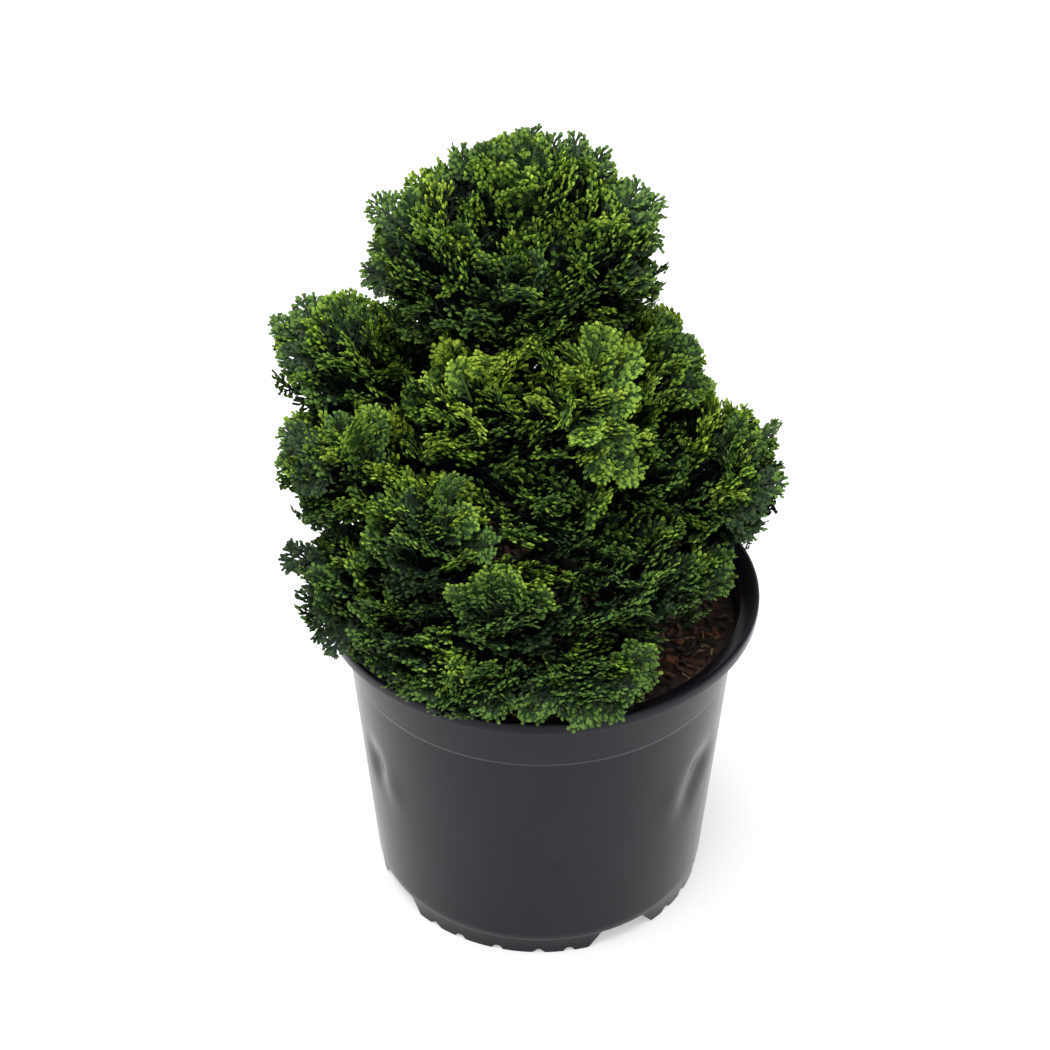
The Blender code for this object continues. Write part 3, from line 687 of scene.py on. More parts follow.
def all_fans():
    """Every fan of the crown: those of the solids, then the finer ones between them."""
    fans = []
    for number, mass in enumerate(MASSES):
        dice = random.Random(100 + number)
        tones = random.Random(300 + number)
        centre = Vector(mass.centre)
        root = centre.lerp(mass_foot(mass), FAN_BACK)
        for finer, leafy, least, most in FAN_KINDS:
            for way in spray_directions(mass, dice, finer):
                twist = dice.uniform(-SPRAY_TWIST, SPRAY_TWIST)
                limit = tones.uniform(least, most)
                sweep = centre + way * limit - root
                length = sweep.length
                along = sweep / length
                across, face = spray_frame(along, twist)
                bare = max(FAN_BARE, 1.0 - leafy / length)
                tone = fan_tone(mass, way, tones)
                fans.append(Fan(
                    root, along, across, face, length, bare, limit, number, tone, FAN_SCALE
                ))
        fans += lying_fans(number, dice, tones)
    return fans + placed_fans()


def grow_crown():
    """Branches of all fans as arrays: one row for a branch, with the number of its fan."""
    fans = all_fans()
    rows = []
    owners = []
    for number, fan in enumerate(fans):
        dice = random.Random(5000 + number)
        outer = fan.scale < FAN_SCALE
        for branch in grow_fan(fan.length / fan.scale, fan.bare, dice):
            if outer and branch.order == INNER.order:
                continue
            rows.append(branch)
            owners.append(number)
    rows = np.array(rows)
    scale = np.array([fan.scale for fan in fans])[owners][:, None]
    rows[:, [0, 1, 2, 5]] *= scale
    return fans, rows, np.array(owners)


class Crown:
    """The grown branches in space, each cut back or dropped where it would leave its mass."""

    def __init__(self):
        self.fans, self.rows, self.fan_of = grow_crown()
        for field in ("root", "along", "across", "face"):
            setattr(self, field, np.array([tuple(getattr(fan, field)) for fan in self.fans]))
        for field in ("length", "owner", "tone", "limit", "scale"):
            setattr(self, field, np.array([getattr(fan, field) for fan in self.fans]))
        self.trim()

    def positions(self, shares):
        """Points at these shares along every branch: (branches, shares, 3)."""
        x, y, z, turn, bend, length, lift, _ = self.rows.T[:, :, None]
        half = turn + bend * shares / 2.0
        reach = length * shares
        flat_x = x + reach * np.cos(half)
        flat_y = y + reach * np.sin(half)
        size = self.length[self.fan_of][:, None]
        cup = FAN_CUP * (flat_x**2 + CUP_ACROSS * flat_y**2) / size
        flat_z = z + reach * np.sin(lift) + cup - FAN_CUP * CUP_BACK * flat_x
        fan = self.fan_of
        return (
            self.root[fan][:, None]
            + flat_x[..., None] * self.along[fan][:, None]
            + flat_y[..., None] * self.across[fan][:, None]
            + flat_z[..., None] * self.face[fan][:, None]
        )

    def trim(self):
        """Shortens each branch to what fits, and drops those with no room."""
        owners = self.owner[self.fan_of]
        ragged = np.random.RandomState(11).uniform(0.0, RIM_JITTER, len(self.rows))
        limits = self.limit[self.fan_of]
        grown = np.minimum(limits + 0.5 * RIM_JITTER, FAN_REACH) - ragged
        limits = np.where(limits > FAN_REACH, limits, grown)
        best = np.zeros(len(self.rows))
        for share in TRIM_SHARES:
            points = self.positions(np.array([share]))[:, 0]
            fits = in_own_space(points, owners, limits)
            grows = fits & (best >= share - 0.26 if share > TRIM_SHARES[0] else True)
            best = np.where(grows, share, best)
        base = in_own_space(self.positions(np.array([0.0]))[:, 0], owners, limits)
        order = self.rows[:, 7]
        kept = (best > 0.0) & (base | (order == 0))
        self.rows[:, 5] *= best
        self.rows[:, 4] *= best
        kept &= self.rows[:, 5] > LEAST_BRANCH * 0.8 * self.scale[self.fan_of]
        self.rows, self.fan_of = self.rows[kept], self.fan_of[kept]
        ends = self.positions(np.array([0.9]))[:, 0]
        self.depth = np.concatenate([cover_over(part) for part in chunks(ends)])
        near = self.depth < DROPPED_DEPTH
        self.rows, self.fan_of, self.depth = self.rows[near], self.fan_of[near], self.depth[near]


# Meshes from arrays

def mesh_from_arrays(name, points, quads, triangles):
    """A mesh from vertex, quad and triangle arrays."""
    mesh = bpy.data.meshes.new(name)
    mesh.vertices.add(len(points))
    mesh.vertices.foreach_set("co", points.astype(np.float32).ravel())
    corners = np.concatenate([quads.ravel(), triangles.ravel()])
    sizes = np.concatenate([np.full(len(quads), 4), np.full(len(triangles), 3)])
    starts = np.concatenate([[0], np.cumsum(sizes)[:-1]])
    mesh.loops.add(len(corners))
    mesh.loops.foreach_set("vertex_index", corners.astype(np.int32))
    mesh.polygons.add(len(sizes))
    mesh.polygons.foreach_set("loop_start", starts.astype(np.int32))
    mesh.polygons.foreach_set("loop_total", sizes.astype(np.int32))
    mesh.polygons.foreach_set("use_smooth", np.ones(len(sizes), bool))
    mesh.update(calc_edges=True)
    mesh.validate()
    return mesh


def linked(name, data):
    made = bpy.data.objects.new(name, data)
    bpy.context.scene.collection.objects.link(made)
    return made


def add_piece(name, mesh, material, nodes=()):
    """A piece of the visual model: it rides on the root and may stand for frame nodes."""
    made = linked(name, mesh)
    mesh.materials.clear()
    mesh.materials.append(material)
    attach(made, "root")
    if nodes:
        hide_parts(*nodes)
    return made


def ring_quads(rings, sides):
    """Quads of a tube from its rings of corners."""
    ring = np.arange(rings - 1)[:, None] * sides
    side = np.arange(sides)[None]
    after = (side + 1) % sides
    corners = (ring + side, ring + after, ring + sides + after, ring + sides + side)
    return np.stack(corners, -1).reshape(-1, 4)


def end_fans(rings, sides):
    """Triangles that close a tube's ends round two points listed after its rings."""
    side = np.arange(sides)
    after = (side + 1) % sides
    last = (rings - 1) * sides
    first = np.stack([after, side, np.full(sides, rings * sides)], -1)
    second = np.stack([last + side, last + after, np.full(sides, rings * sides + 1)], -1)
    return np.concatenate([first, second])


def strips(paths, sides, closed_tip):
    """Leaves with one corner for each side on a ring: points, quads and triangles."""
    count, rings = paths.shape[:2]
    if closed_tip:
        rings -= 1
    wide = len(sides)
    points = np.stack([paths[:, :rings] + side[:, :rings] for side in sides], 2)
    points = points.reshape(count, rings * wide, 3)
    if closed_tip:
        points = np.concatenate([points, paths[:, -1:]], 1)
    first = (wide * np.arange(rings - 1)[:, None] + np.arange(wide - 1)[None]).ravel()
    one = np.stack([first, first + 1, first + wide + 1, first + wide], -1)
    offsets = np.arange(count)[:, None, None] * points.shape[1]
    quads = (one[None] + offsets).reshape(-1, 4)
    triangles = np.zeros((0, 3), int)
    if closed_tip:
        last, end = wide * (rings - 1), wide * rings
        tip = np.array([[last + side, last + side + 1, end] for side in range(wide - 1)])
        triangles = (tip[None] + offsets).reshape(-1, 3)
    return points.reshape(-1, 3), quads, triangles


class Batch:
    """Gathers arrays for one kind of piece and writes it in parts under the triangle limit."""

    def __init__(self, name):
        self.name = name
        self.parts = []

    def add(self, points, quads, triangles):
        self.parts.append((points, quads, triangles))

    def write(self, material, slot, nodes=()):
        groups = []
        total = PIECE_TRIANGLES + 1
        for part in self.parts:
            size = 2 * len(part[1]) + len(part[2])
            if total + size > PIECE_TRIANGLES:
                groups.append([])
                total = 0
            groups[-1].append(part)
            total += size
        made = []
        for number, group in enumerate(groups):
            starts = np.cumsum([0] + [len(part[0]) for part in group])[:-1]
            points = np.concatenate([part[0] for part in group])
            quads, triangles = (
                np.concatenate([part[kind] + start for part, start in zip(group, starts)])
                for kind in (1, 2)
            )
            name = self.name if len(groups) == 1 else f"{self.name}_{number + 1}"
            mesh = mesh_from_arrays(name, points, quads, triangles)
            made.append(add_piece(name, mesh, material, nodes))
        return made


def chunks(rows):
    for start in range(0, len(rows), CHUNK):
        yield rows[start:start + CHUNK]


def unit(vectors):
    return vectors / (np.linalg.norm(vectors, axis=-1, keepdims=True) + 1e-12)


def branch_frames(crown, shares):
    """Paths of all branches with their wide and flat directions."""
    paths = crown.positions(shares)
    ahead = unit(np.gradient(paths, axis=1))
    face = np.broadcast_to(crown.face[crown.fan_of][:, None], paths.shape)
    wide = unit(np.cross(face, ahead))
    flat = np.cross(ahead, wide)
    return paths, wide, flat


# Rings of a branchlet: share along it and width there; the last two lobes make its bright tip
LEAF = np.array([(0.00, 0.55), (0.50, 1.00), (1.00, 0.0)])
LOBED = np.array([(0.00, 0.75), (0.45, 0.82), (0.84, 1.10), (1.00, 0.0)])
TIP_FROM = 1
LONG = np.array([(0.00, 0.80), (0.90, 0.60), (1.00, 0.0)])
CHUNK = 3000


def ahead_tone(crown):
    """Fresher towards a fan's rim and duller towards its foot."""
    ahead = crown.rows[:, 0] / crown.length[crown.fan_of]
    return TONE_AHEAD * (np.clip(ahead, 0.0, 1.0) - 0.75)


def dealt_tone(crown, drop, inside):
    """Tone of each branch: its fan's, lighter ahead and darker inside the crown by painted shade,
    as a whole number.
    """
    tone = crown.tone[crown.fan_of] + ahead_tone(crown) - drop - inside
    return np.clip(np.round(tone), 0, 3).astype(int)


def body_and_tip_tones(crown):
    drop = np.where(crown.scale[crown.fan_of] < FAN_SCALE, OUTER_BODY_DROP, BODY_DROP)
    # Bodies and tips darker the deeper they lie under foliage: painted shade
    body = dealt_tone(crown, drop, np.clip(crown.depth / SHADE_DEPTH, 0.0, 2.0))
    tip = dealt_tone(crown, 0.0, np.clip((crown.depth - TIP_LIT) / SHADE_DEPTH, 0.0, 2.2))
    return body, tip


def build_foliage(crown, materials):
    """Branchlets of the crown, dealt into one piece for each tone of body and of tip."""
    bodies = {tone: Batch("foliage_body_" + tone) for tone in BODY_COLOURS}
    tips = {tone: Batch("foliage_tip_" + tone) for tone in TIP_COLOURS}
    body_of, tip_of = body_and_tip_tones(crown)
    order = crown.rows[:, 7].astype(int)
    dice = np.random.RandomState(7)
    size = dice.uniform(*BRANCHLET_SIZES, len(order))
    scale = crown.scale[crown.fan_of]
    size *= scale
    inner = (crown.depth > HIDDEN_DEPTH) | (order == INNER.order)
    shares, width = LEAF.T
    paths, wide, flat = branch_frames(crown, shares)
    roll = dice.uniform(-LEAF_ROLL, LEAF_ROLL, len(order))[:, None, None]
    rolled = wide * np.cos(roll) + flat * np.sin(roll)
    # Leaves deep inside the crown take one dark colour: painted shade
    inside = Batch("foliage_inside_painted_shade")
    for part in chunks(np.flatnonzero(inner)):
        half = INNER_HALF_WIDTH * scale[part][:, None] * width
        across = rolled[part] * half[:, :, None]
        inside.add(*strips(paths[part], (across, -across), True))
    for layout, chosen in ((LONG, ~inner & (order < 2)), (LOBED, ~inner & (order >= 2))):
        shares, width = layout.T
        paths, wide, flat = branch_frames(crown, shares)
        across = wide * (HALF_WIDTH * size[:, None] * width)[:, :, None]
        through = flat * (HALF_THICK * size[:, None] * width)[:, :, None]
        whole = layout is LONG
        last = len(layout)
        for tones, batches, rings, closed in (
            (body_of, bodies, slice(0, last if whole else TIP_FROM + 1), whole),
            (tip_of, tips, slice(TIP_FROM, last), True),
        ):
            if whole and batches is tips:
                continue
            for index, batch in enumerate(batches.values()):
                for part in chunks(np.flatnonzero(chosen & (tones == index))):
                    sides = across[part][:, rings], through[part][:, rings]
                    sides = sides[0], sides[1], -sides[0]
                    batch.add(*strips(paths[part][:, rings], sides, closed))
    made = inside.write(materials["inside"], "foliage_deep")
    for tone, batch in bodies.items():
        made += batch.write(materials["body_" + tone], "foliage_deep")
    for tone, batch in tips.items():
        made += batch.write(materials["tip_" + tone], "foliage_fresh")
    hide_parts(*[mass.name + "_foliage" for mass in MASSES])


# Wood

def bark_tube(points, radii, sides, relief, seed):
    """A tube along points with lengthwise fissures, as arrays."""
    path = np.array([tuple(point) for point in points])
    ahead = unit(np.gradient(path, axis=0))
    helper = np.where(np.abs(ahead[:, 2:3]) > 0.8, [[1.0, 0.0, 0.0]], [[0.0, 0.0, 1.0]])
    across = unit(np.cross(helper, ahead))
    up = np.cross(ahead, across)
    rings = len(path)
    corners = np.zeros((rings, sides, 3))
    for ring in range(rings):
        for side in range(sides):
            turn = 2.0 * math.pi * side / sides
            place = Vector((math.cos(turn), math.sin(turn), 0.0)) * BARK_FISSURES
            offset = place + Vector(path[ring]) * BARK_GRAIN
            rough = noise.noise(offset + Vector((seed, 0.0, 0.0)))
            radius = radii[ring][side] if np.ndim(radii[ring]) else radii[ring]
            radius = radius * (1.0 - relief * (0.5 + 0.5 * rough))
            corners[ring, side] = path[ring] + radius * (
                math.cos(turn) * across[ring] + math.sin(turn) * up[ring]
            )
    points = np.concatenate([corners.reshape(-1, 3), [path[0], path[-1]]])
    return points, ring_quads(rings, sides), end_fans(rings, sides)


def build_trunk(material):
    rings, sides = 90, 28
    heights = TRUNK_FOOT + (np.linspace(0.0, 1.0, rings) ** 1.4) * (TRUNK_TIP - TRUNK_FOOT)
    radii = []
    for height in heights:
        lobe = FLARE_LOBE * math.exp(-(height - TRUNK_FOOT) / FLARE_HEIGHT)
        turns = 2.0 * np.pi * np.arange(sides) / sides
        radii.append(trunk_radius(height) * (1.0 + lobe * np.cos(FLARE_ROOTS * turns)))
    batch = Batch("trunk_bark")
    batch.add(*bark_tube([trunk_axis(h) for h in heights], radii, sides, 0.16, 3.0))
    batch.write(material, "bark", ("trunk",))


def build_boughs(material):
    """Boughs and the stems that carry on from them, joined."""
    batch = Batch("boughs_bark")
    for number, mass in enumerate(MASSES):
        shares = np.linspace(0.0, 1.0, 22)
        points = [bough_point(mass, share) for share in shares]
        radii = [bough_radius(share) for share in shares]
        batch.add(*bark_tube(points, radii, 12, 0.14, 11.0 + number))
    batch.write(material, "bark", [mass.name + "_bough" for mass in MASSES])


def build_stems(crown, material):
    """Stems inside the masses, and the bare foot of every fan."""
    batch = Batch("stems")
    for number, mass in enumerate(MASSES):
        centre = Vector(mass.centre)
        foot = mass_foot(mass)
        shares = np.linspace(0.0, 1.0, 6)
        points = [foot.lerp(centre, share) for share in shares]
        radii = [STEM_RADIUS * (1.0 - 0.3 * share) for share in shares]
        batch.add(*bark_tube(points, radii, 8, 0.10, 50.0 + number))
    for number, fan in enumerate(crown.fans):
        if fan.scale < FAN_SCALE:
            continue
        centre = Vector(MASSES[fan.owner].centre)
        end = fan.root + fan.along * fan.length * FAN_BARE
        points = [centre.lerp(end, share) for share in (0.0, 0.5, 1.0)]
        radii = [STEM_RADIUS * (0.7 - 0.25 * share) for share in (0.0, 0.5, 1.0)]
        batch.add(*bark_tube(points, radii, 4, 0.05, 90.0 + number))
    batch.write(material, "bark")


# Pot

def pot_rows():
    """Section of the pot: radius, height, whether it is wall, and whether it is the foot's edge."""
    rise = FLOOR_RISE + WALL
    neck = POT_HEIGHT - NECK_DROP
    under = POT_HEIGHT - LIP_DROP
    bead = LIP_RADIUS - LIP_BEAD_WIDTH
    bead_round = BEAD_ROUND * LIP_BEAD_WIDTH
    disc = FLOOR_DISC_RADIUS - WALL
    above, below = SHOULDER_HEIGHT + SHOULDER_LEDGE, SHOULDER_HEIGHT - SHOULDER_LEDGE
    shelf = SHOULDER_RADIUS + SHOULDER_LEDGE
    step_top = FOOT_STEP_HEIGHT + FOOT_STEP
    step_radius = FOOT_RADIUS + 2.0 * FOOT_STEP
    rows = [(0.0, WALL, 0, 0), (disc, WALL, 0, 0), (disc + FLOOR_SLOPE, rise, 0, 0)]
    for height in np.arange(rise, SHOULDER_HEIGHT, WALL_ROW):
        rows.append((pot_inner_radius(height), height, 1, 0))
    rows += [
        (pot_inner_radius(SHOULDER_HEIGHT), SHOULDER_HEIGHT, 1, 0),
        (NECK_RADIUS - WALL, neck + WALL - ROUNDING, 0, 0),
        (NECK_RADIUS - WALL + NECK_EASE, neck + WALL, 0, 0),
        (bead - 0.0010, POT_HEIGHT - LIP_BAND_DIP, 0, 0),
        (bead - 0.0005, POT_HEIGHT - 0.0008, 0, 0),
    ]
    for step in range(BEAD_STEPS + 1):
        turn = math.pi * (BEAD_TURN - BEAD_TURN * step / BEAD_STEPS)
        radius = bead + (1.0 - BEAD_ROUND) * LIP_BEAD_WIDTH + bead_round * math.cos(turn)
        rows.append((radius, POT_HEIGHT - bead_round + bead_round * math.sin(turn), 0, 0))
    rows += [
        (LIP_RADIUS - 0.0002, under + ROUNDING, 0, 0),
        (LIP_RADIUS - 0.0004, under + 0.0001, 0, 0),
        (LIP_RADIUS - 0.0008, under, 0, 0),
        (LIP_RADIUS - 0.0003 - WALL, under, 0, 0),
        (LIP_RADIUS - 0.0006 - WALL, POT_HEIGHT - LIP_BAND_DIP - LIP_HOLLOW * WALL, 0, 0),
        (NECK_RADIUS + NECK_EASE, neck, 0, 0),
        (NECK_RADIUS, neck - ROUNDING, 0, 0),
    ]
    for height in np.arange(neck - NECK_GAP, above + LEDGE_GAP, -WALL_ROW):
        share = (height - SHOULDER_HEIGHT) / (neck - SHOULDER_HEIGHT)
        rows.append((shelf + share * (NECK_RADIUS - shelf), height, 1, 0))
    rows += [
        (shelf + 2.0 * HAIR, above + CREASE, 1, 0),
        (shelf, above, 1, 0),
        (SHOULDER_RADIUS + 0.6 * SHOULDER_LEDGE, SHOULDER_HEIGHT, 1, 0),
        (SHOULDER_RADIUS, below, 1, 0),
        (SHOULDER_RADIUS - 3.0 * HAIR, below - CREASE, 1, 0),
    ]
    span = below - step_top
    count = round(span / WALL_ROW)
    for row in range(1, count):
        share = row / count
        radius = SHOULDER_RADIUS + share * (step_radius - SHOULDER_RADIUS)
        rows.append((radius, below - share * span, 1, 0))
    rows += [
        (step_radius, step_top, 0, 0),
        (FOOT_RADIUS + 1.2 * FOOT_STEP, FOOT_STEP_HEIGHT - 0.5 * FOOT_STEP, 0, 0),
        (FOOT_RADIUS + FOOT_STEP, FOOT_STEP_HEIGHT - FOOT_STEP, 0, 0),
        (FOOT_RADIUS, 0.0, 0, 1),
        (FOOT_RADIUS - WALL, 0.0, 0, 1),
        (FOOT_RADIUS - WALL, FLOOR_RISE, 0, 0),
        (FLOOR_DISC_RADIUS + FLOOR_SLOPE, FLOOR_RISE, 0, 0),
        (FLOOR_DISC_RADIUS, 0.0, 0, 0),
        (0.0, 0.0, 0, 0),
    ]
    return np.array(rows)


def degrees_from(degrees, middle):
    return (degrees - middle + 180.0) % 360.0 - 180.0


def slanted(away, foot_half, top_half, height):
    """Height of a slot's edge at this many degrees from its middle."""
    share = np.clip((foot_half - np.abs(away)) / (foot_half - top_half), 0.0, 1.0)
    return height * share


def foot_edge(degrees):
    """Height of the foot's lower edge: arches with notches between."""
    edge = np.zeros_like(degrees)
    for quarter in range(4):
        middle = ARCH_TURN + 90.0 * quarter
        away = degrees_from(degrees, middle)
        edge = np.maximum(edge, slanted(away, ARCH_FOOT_HALF, ARCH_TOP_HALF, ARCH_HEIGHT))
        for turn in NOTCH_TURNS:
            away = degrees_from(degrees, middle + turn)
            edge = np.maximum(edge, slanted(away, NOTCH_FOOT_HALF, NOTCH_TOP_HALF, NOTCH_HEIGHT))
    return edge


def dent_depth(degrees, height):
    """How far the wall is pushed in at each place."""
    depth = np.zeros(np.broadcast(degrees, height).shape)
    for turn, middle, half_turn, half_height, deep in DENTS:
        away = degrees_from(degrees, turn) / half_turn
        rise = (height - middle) / half_height
        depth += deep * np.exp(-(away**2) - rise**2)
    return depth


def lathe(rows, columns, shape):
    """Turns the rows round Z and moves each point by the shape function; poles stay single."""
    degrees = np.arange(columns) * 360.0 / columns
    radius = np.repeat(rows[:, 0:1], columns, 1)
    height = np.repeat(rows[:, 1:2], columns, 1)
    radius, height = shape(radius, height, degrees[None], rows)
    turn = np.radians(degrees)[None]
    points = np.stack([radius * np.sin(turn), -radius * np.cos(turn), height], -1)
    inner = points[1:-1].reshape(-1, 3)
    poles = np.array([[0.0, 0.0, rows[0, 1]], [0.0, 0.0, rows[-1, 1]]])
    rings = len(rows) - 2
    return np.concatenate([inner, poles]), ring_quads(rings, columns), end_fans(rings, columns)


def pot_shape(radius, height, degrees, rows):
    radius = radius - rows[:, 2:3] * dent_depth(degrees, height)
    height = np.where(rows[:, 3:4] > 0, foot_edge(degrees), height)
    return radius, height


def point_outwards(mesh):
    shape = bmesh.new()
    shape.from_mesh(mesh)
    bmesh.ops.recalc_face_normals(shape, faces=shape.faces)
    shape.to_mesh(mesh)
    shape.free()


def build_pot(material):
    mesh = mesh_from_arrays("nursery_pot", *lathe(pot_rows(), POT_COLUMNS, pot_shape))
    point_outwards(mesh)
    pot = add_piece("nursery_pot", mesh, material, ("pot",))
    shape = bmesh.new()
    for quarter in range(4):
        turn = math.radians(ARCH_TURN + 90.0 * quarter)
        place = (DRAIN_PLACE * math.sin(turn), -DRAIN_PLACE * math.cos(turn), FLOOR_RISE + WALL / 2)
        bmesh.ops.create_cone(
            shape, cap_ends=True, segments=DRAIN_SIDES, radius1=DRAIN_RADIUS,
            radius2=DRAIN_RADIUS, depth=4 * WALL, matrix=Matrix.Translation(place),
        )
    drill_mesh = bpy.data.meshes.new("drain_drill")
    shape.to_mesh(drill_mesh)
    shape.free()
    drill = linked("drain_drill", drill_mesh)
    holes = pot.modifiers.new("drains", "BOOLEAN")
    holes.operation = "DIFFERENCE"
    holes.solver = "EXACT"
    holes.object = drill
    graph = bpy.context.evaluated_depsgraph_get()
    graph.update()
    drilled = bpy.data.meshes.new_from_object(pot.evaluated_get(graph))
    pot.modifiers.clear()
    pot.data = drilled
    bpy.data.objects.remove(drill, do_unlink=True)
    pot.data.shade_smooth()
    pot.data.set_sharp_from_angle(angle=math.radians(38))


# Soil

def soil_height(x, y):
    """Lumpy top of the soil."""
    coarse = noise.noise(Vector((x * SOIL_LUMPS, y * SOIL_LUMPS, 1.0)))
    fine = noise.noise(Vector((x * SOIL_CRUMBS, y * SOIL_CRUMBS, 5.0)))
    edge = max(0.0, (math.hypot(x, y) - SOIL_FALL_FROM) / SOIL_FALL_OVER)
    relief = SOIL_RELIEF * (0.55 * coarse + 0.30 * fine)
    return SOIL_LEVEL - SOIL_SUNK + relief - SOIL_FALL * edge


def soil_rows():
    inner = pot_inner_radius(SOIL_LEVEL) - SOIL_GAP
    rows = [(0.0, SOIL_LEVEL, 1, 0)]
    rows += [(radius, SOIL_LEVEL, 1, 0) for radius in np.linspace(0.0016, inner, SOIL_RINGS)]
    low = FLOOR_RISE + WALL + SOIL_GAP
    for height in np.linspace(SHOULDER_HEIGHT, low, SOIL_WALL_ROWS):
        rows.append((pot_inner_radius(height) - SOIL_GAP, height, 0, 0))
    disc = FLOOR_DISC_RADIUS - WALL - SOIL_GAP
    rows.append((disc + FLOOR_SLOPE, low, 0, 0))
    rows.append((disc, WALL + SOIL_GAP, 0, 0))
    rows.append((0.0, WALL + SOIL_GAP, 0, 0))
    return np.array(rows)


def soil_shape(radius, height, degrees, rows):
    turn = np.radians(degrees)
    dented = radius - (rows[:, 2:3] == 0) * dent_depth(degrees, height) * (height > 0.03)
    for row in np.flatnonzero(rows[:, 2] > 0):
        for column in range(radius.shape[1]):
            x = radius[row, column] * math.sin(turn[0, column])
            y = -radius[row, column] * math.cos(turn[0, column])
            height[row, column] = soil_height(x, y)
    return dented, height


def chip_arrays(dice, long, wide, thick):
    """One irregular flake as eight-cornered slab."""
    base = np.array([
        (-1, -1, -1), (1, -1, -1), (1, 1, -1), (-1, 1, -1),
        (-1, -1, 1), (1, -1, 1), (1, 1, 1), (-1, 1, 1),
    ], float)
    base *= dice.uniform(0.55, 1.0, base.shape)
    base *= np.array([long, wide, thick]) / 2.0
    quads = np.array([
        (3, 2, 1, 0), (4, 5, 6, 7), (0, 1, 5, 4), (1, 2, 6, 5), (2, 3, 7, 6), (3, 0, 4, 7),
    ])
    return base, quads


def turned_by(points, heading, pitch, roll):
    turn = (
        Matrix.Rotation(heading, 3, "Z") @ Matrix.Rotation(pitch, 3, "Y")
        @ Matrix.Rotation(roll, 3, "X")
    )
    return points @ np.array(turn).T


def build_soil(materials):
    mesh = mesh_from_arrays("soil_bed", *lathe(soil_rows(), SOIL_COLUMNS, soil_shape))
    point_outwards(mesh)
    add_piece("soil_bed", mesh, materials["soil"], ("soil",))
    dice = np.random.RandomState(21)
    kinds, odds = list(CHIP_KINDS), list(CHIP_KINDS.values())
    batches = {kind: Batch("mulch_" + kind) for kind in kinds}
    limit = pot_inner_radius(SOIL_LEVEL) - CHIPS_IN
    for _ in range(CHIPS):
        kind = dice.choice(kinds, p=odds)
        turn = dice.uniform(0.0, 2.0 * math.pi)
        away = limit * math.sqrt(dice.uniform(0.02, 1.0))
        x, y = away * math.cos(turn), away * math.sin(turn)
        long = dice.uniform(0.003, 0.009)
        wide = long * dice.uniform(0.25, 0.6)
        if kind == "chip_tan":
            wide = dice.uniform(0.0005, 0.0012)
        points, quads = chip_arrays(dice, long, wide, dice.uniform(0.0006, 0.0018))
        points = turned_by(
            points, dice.uniform(0, 2 * math.pi), dice.normal(0, 0.28), dice.normal(0, 0.35)
        )
        points += (x, y, soil_height(x, y) + dice.uniform(0.0, 0.0012))
        batches[kind].add(points, quads, np.zeros((0, 3), int))
    for kind, batch in batches.items():
        for piece in batch.write(materials[kind], "soil"):
            piece.data.shade_flat()


# Materials

def principled(name, colour, roughness):
    material = bpy.data.materials.new(name)
    material.use_nodes = True
    shader = material.node_tree.nodes["Principled BSDF"]
    shader.inputs["Base Color"].default_value = (*colour, 1.0)
    shader.inputs["Roughness"].default_value = roughness
    return material, material.node_tree, shader


def leaf_material(name, colour, roughness):
    material, _, shader = principled(name, colour, roughness)
    shader.inputs["Specular IOR Level"].default_value = 0.12
    return material


def add_noise(tree, scale, detail, stretch=(1.0, 1.0, 1.0)):
    """A noise texture in the object's own coordinates."""
    place = tree.nodes.new("ShaderNodeTexCoord")
    mapping = tree.nodes.new("ShaderNodeMapping")
    mapping.inputs["Scale"].default_value = stretch
    texture = tree.nodes.new("ShaderNodeTexNoise")
    texture.inputs["Scale"].default_value = scale
    texture.inputs["Detail"].default_value = detail
    tree.links.new(place.outputs["Object"], mapping.inputs["Vector"])
    tree.links.new(mapping.outputs["Vector"], texture.inputs["Vector"])
    return texture


def add_ramp(tree, source, shader, stops):
    ramp = tree.nodes.new("ShaderNodeValToRGB")
    while len(ramp.color_ramp.elements) < len(stops):
        ramp.color_ramp.elements.new(0.5)
    for element, (place, colour) in zip(ramp.color_ramp.elements, stops):
        element.position = place
        element.color = (*colour, 1.0)
    tree.links.new(source.outputs["Fac"], ramp.inputs["Fac"])
    tree.links.new(ramp.outputs["Color"], shader.inputs["Base Color"])


def add_bump(tree, source, shader, strength, distance):
    bump = tree.nodes.new("ShaderNodeBump")
    bump.inputs["Strength"].default_value = strength
    bump.inputs["Distance"].default_value = distance
    tree.links.new(source.outputs["Fac"], bump.inputs["Height"])
    tree.links.new(bump.outputs["Normal"], shader.inputs["Normal"])


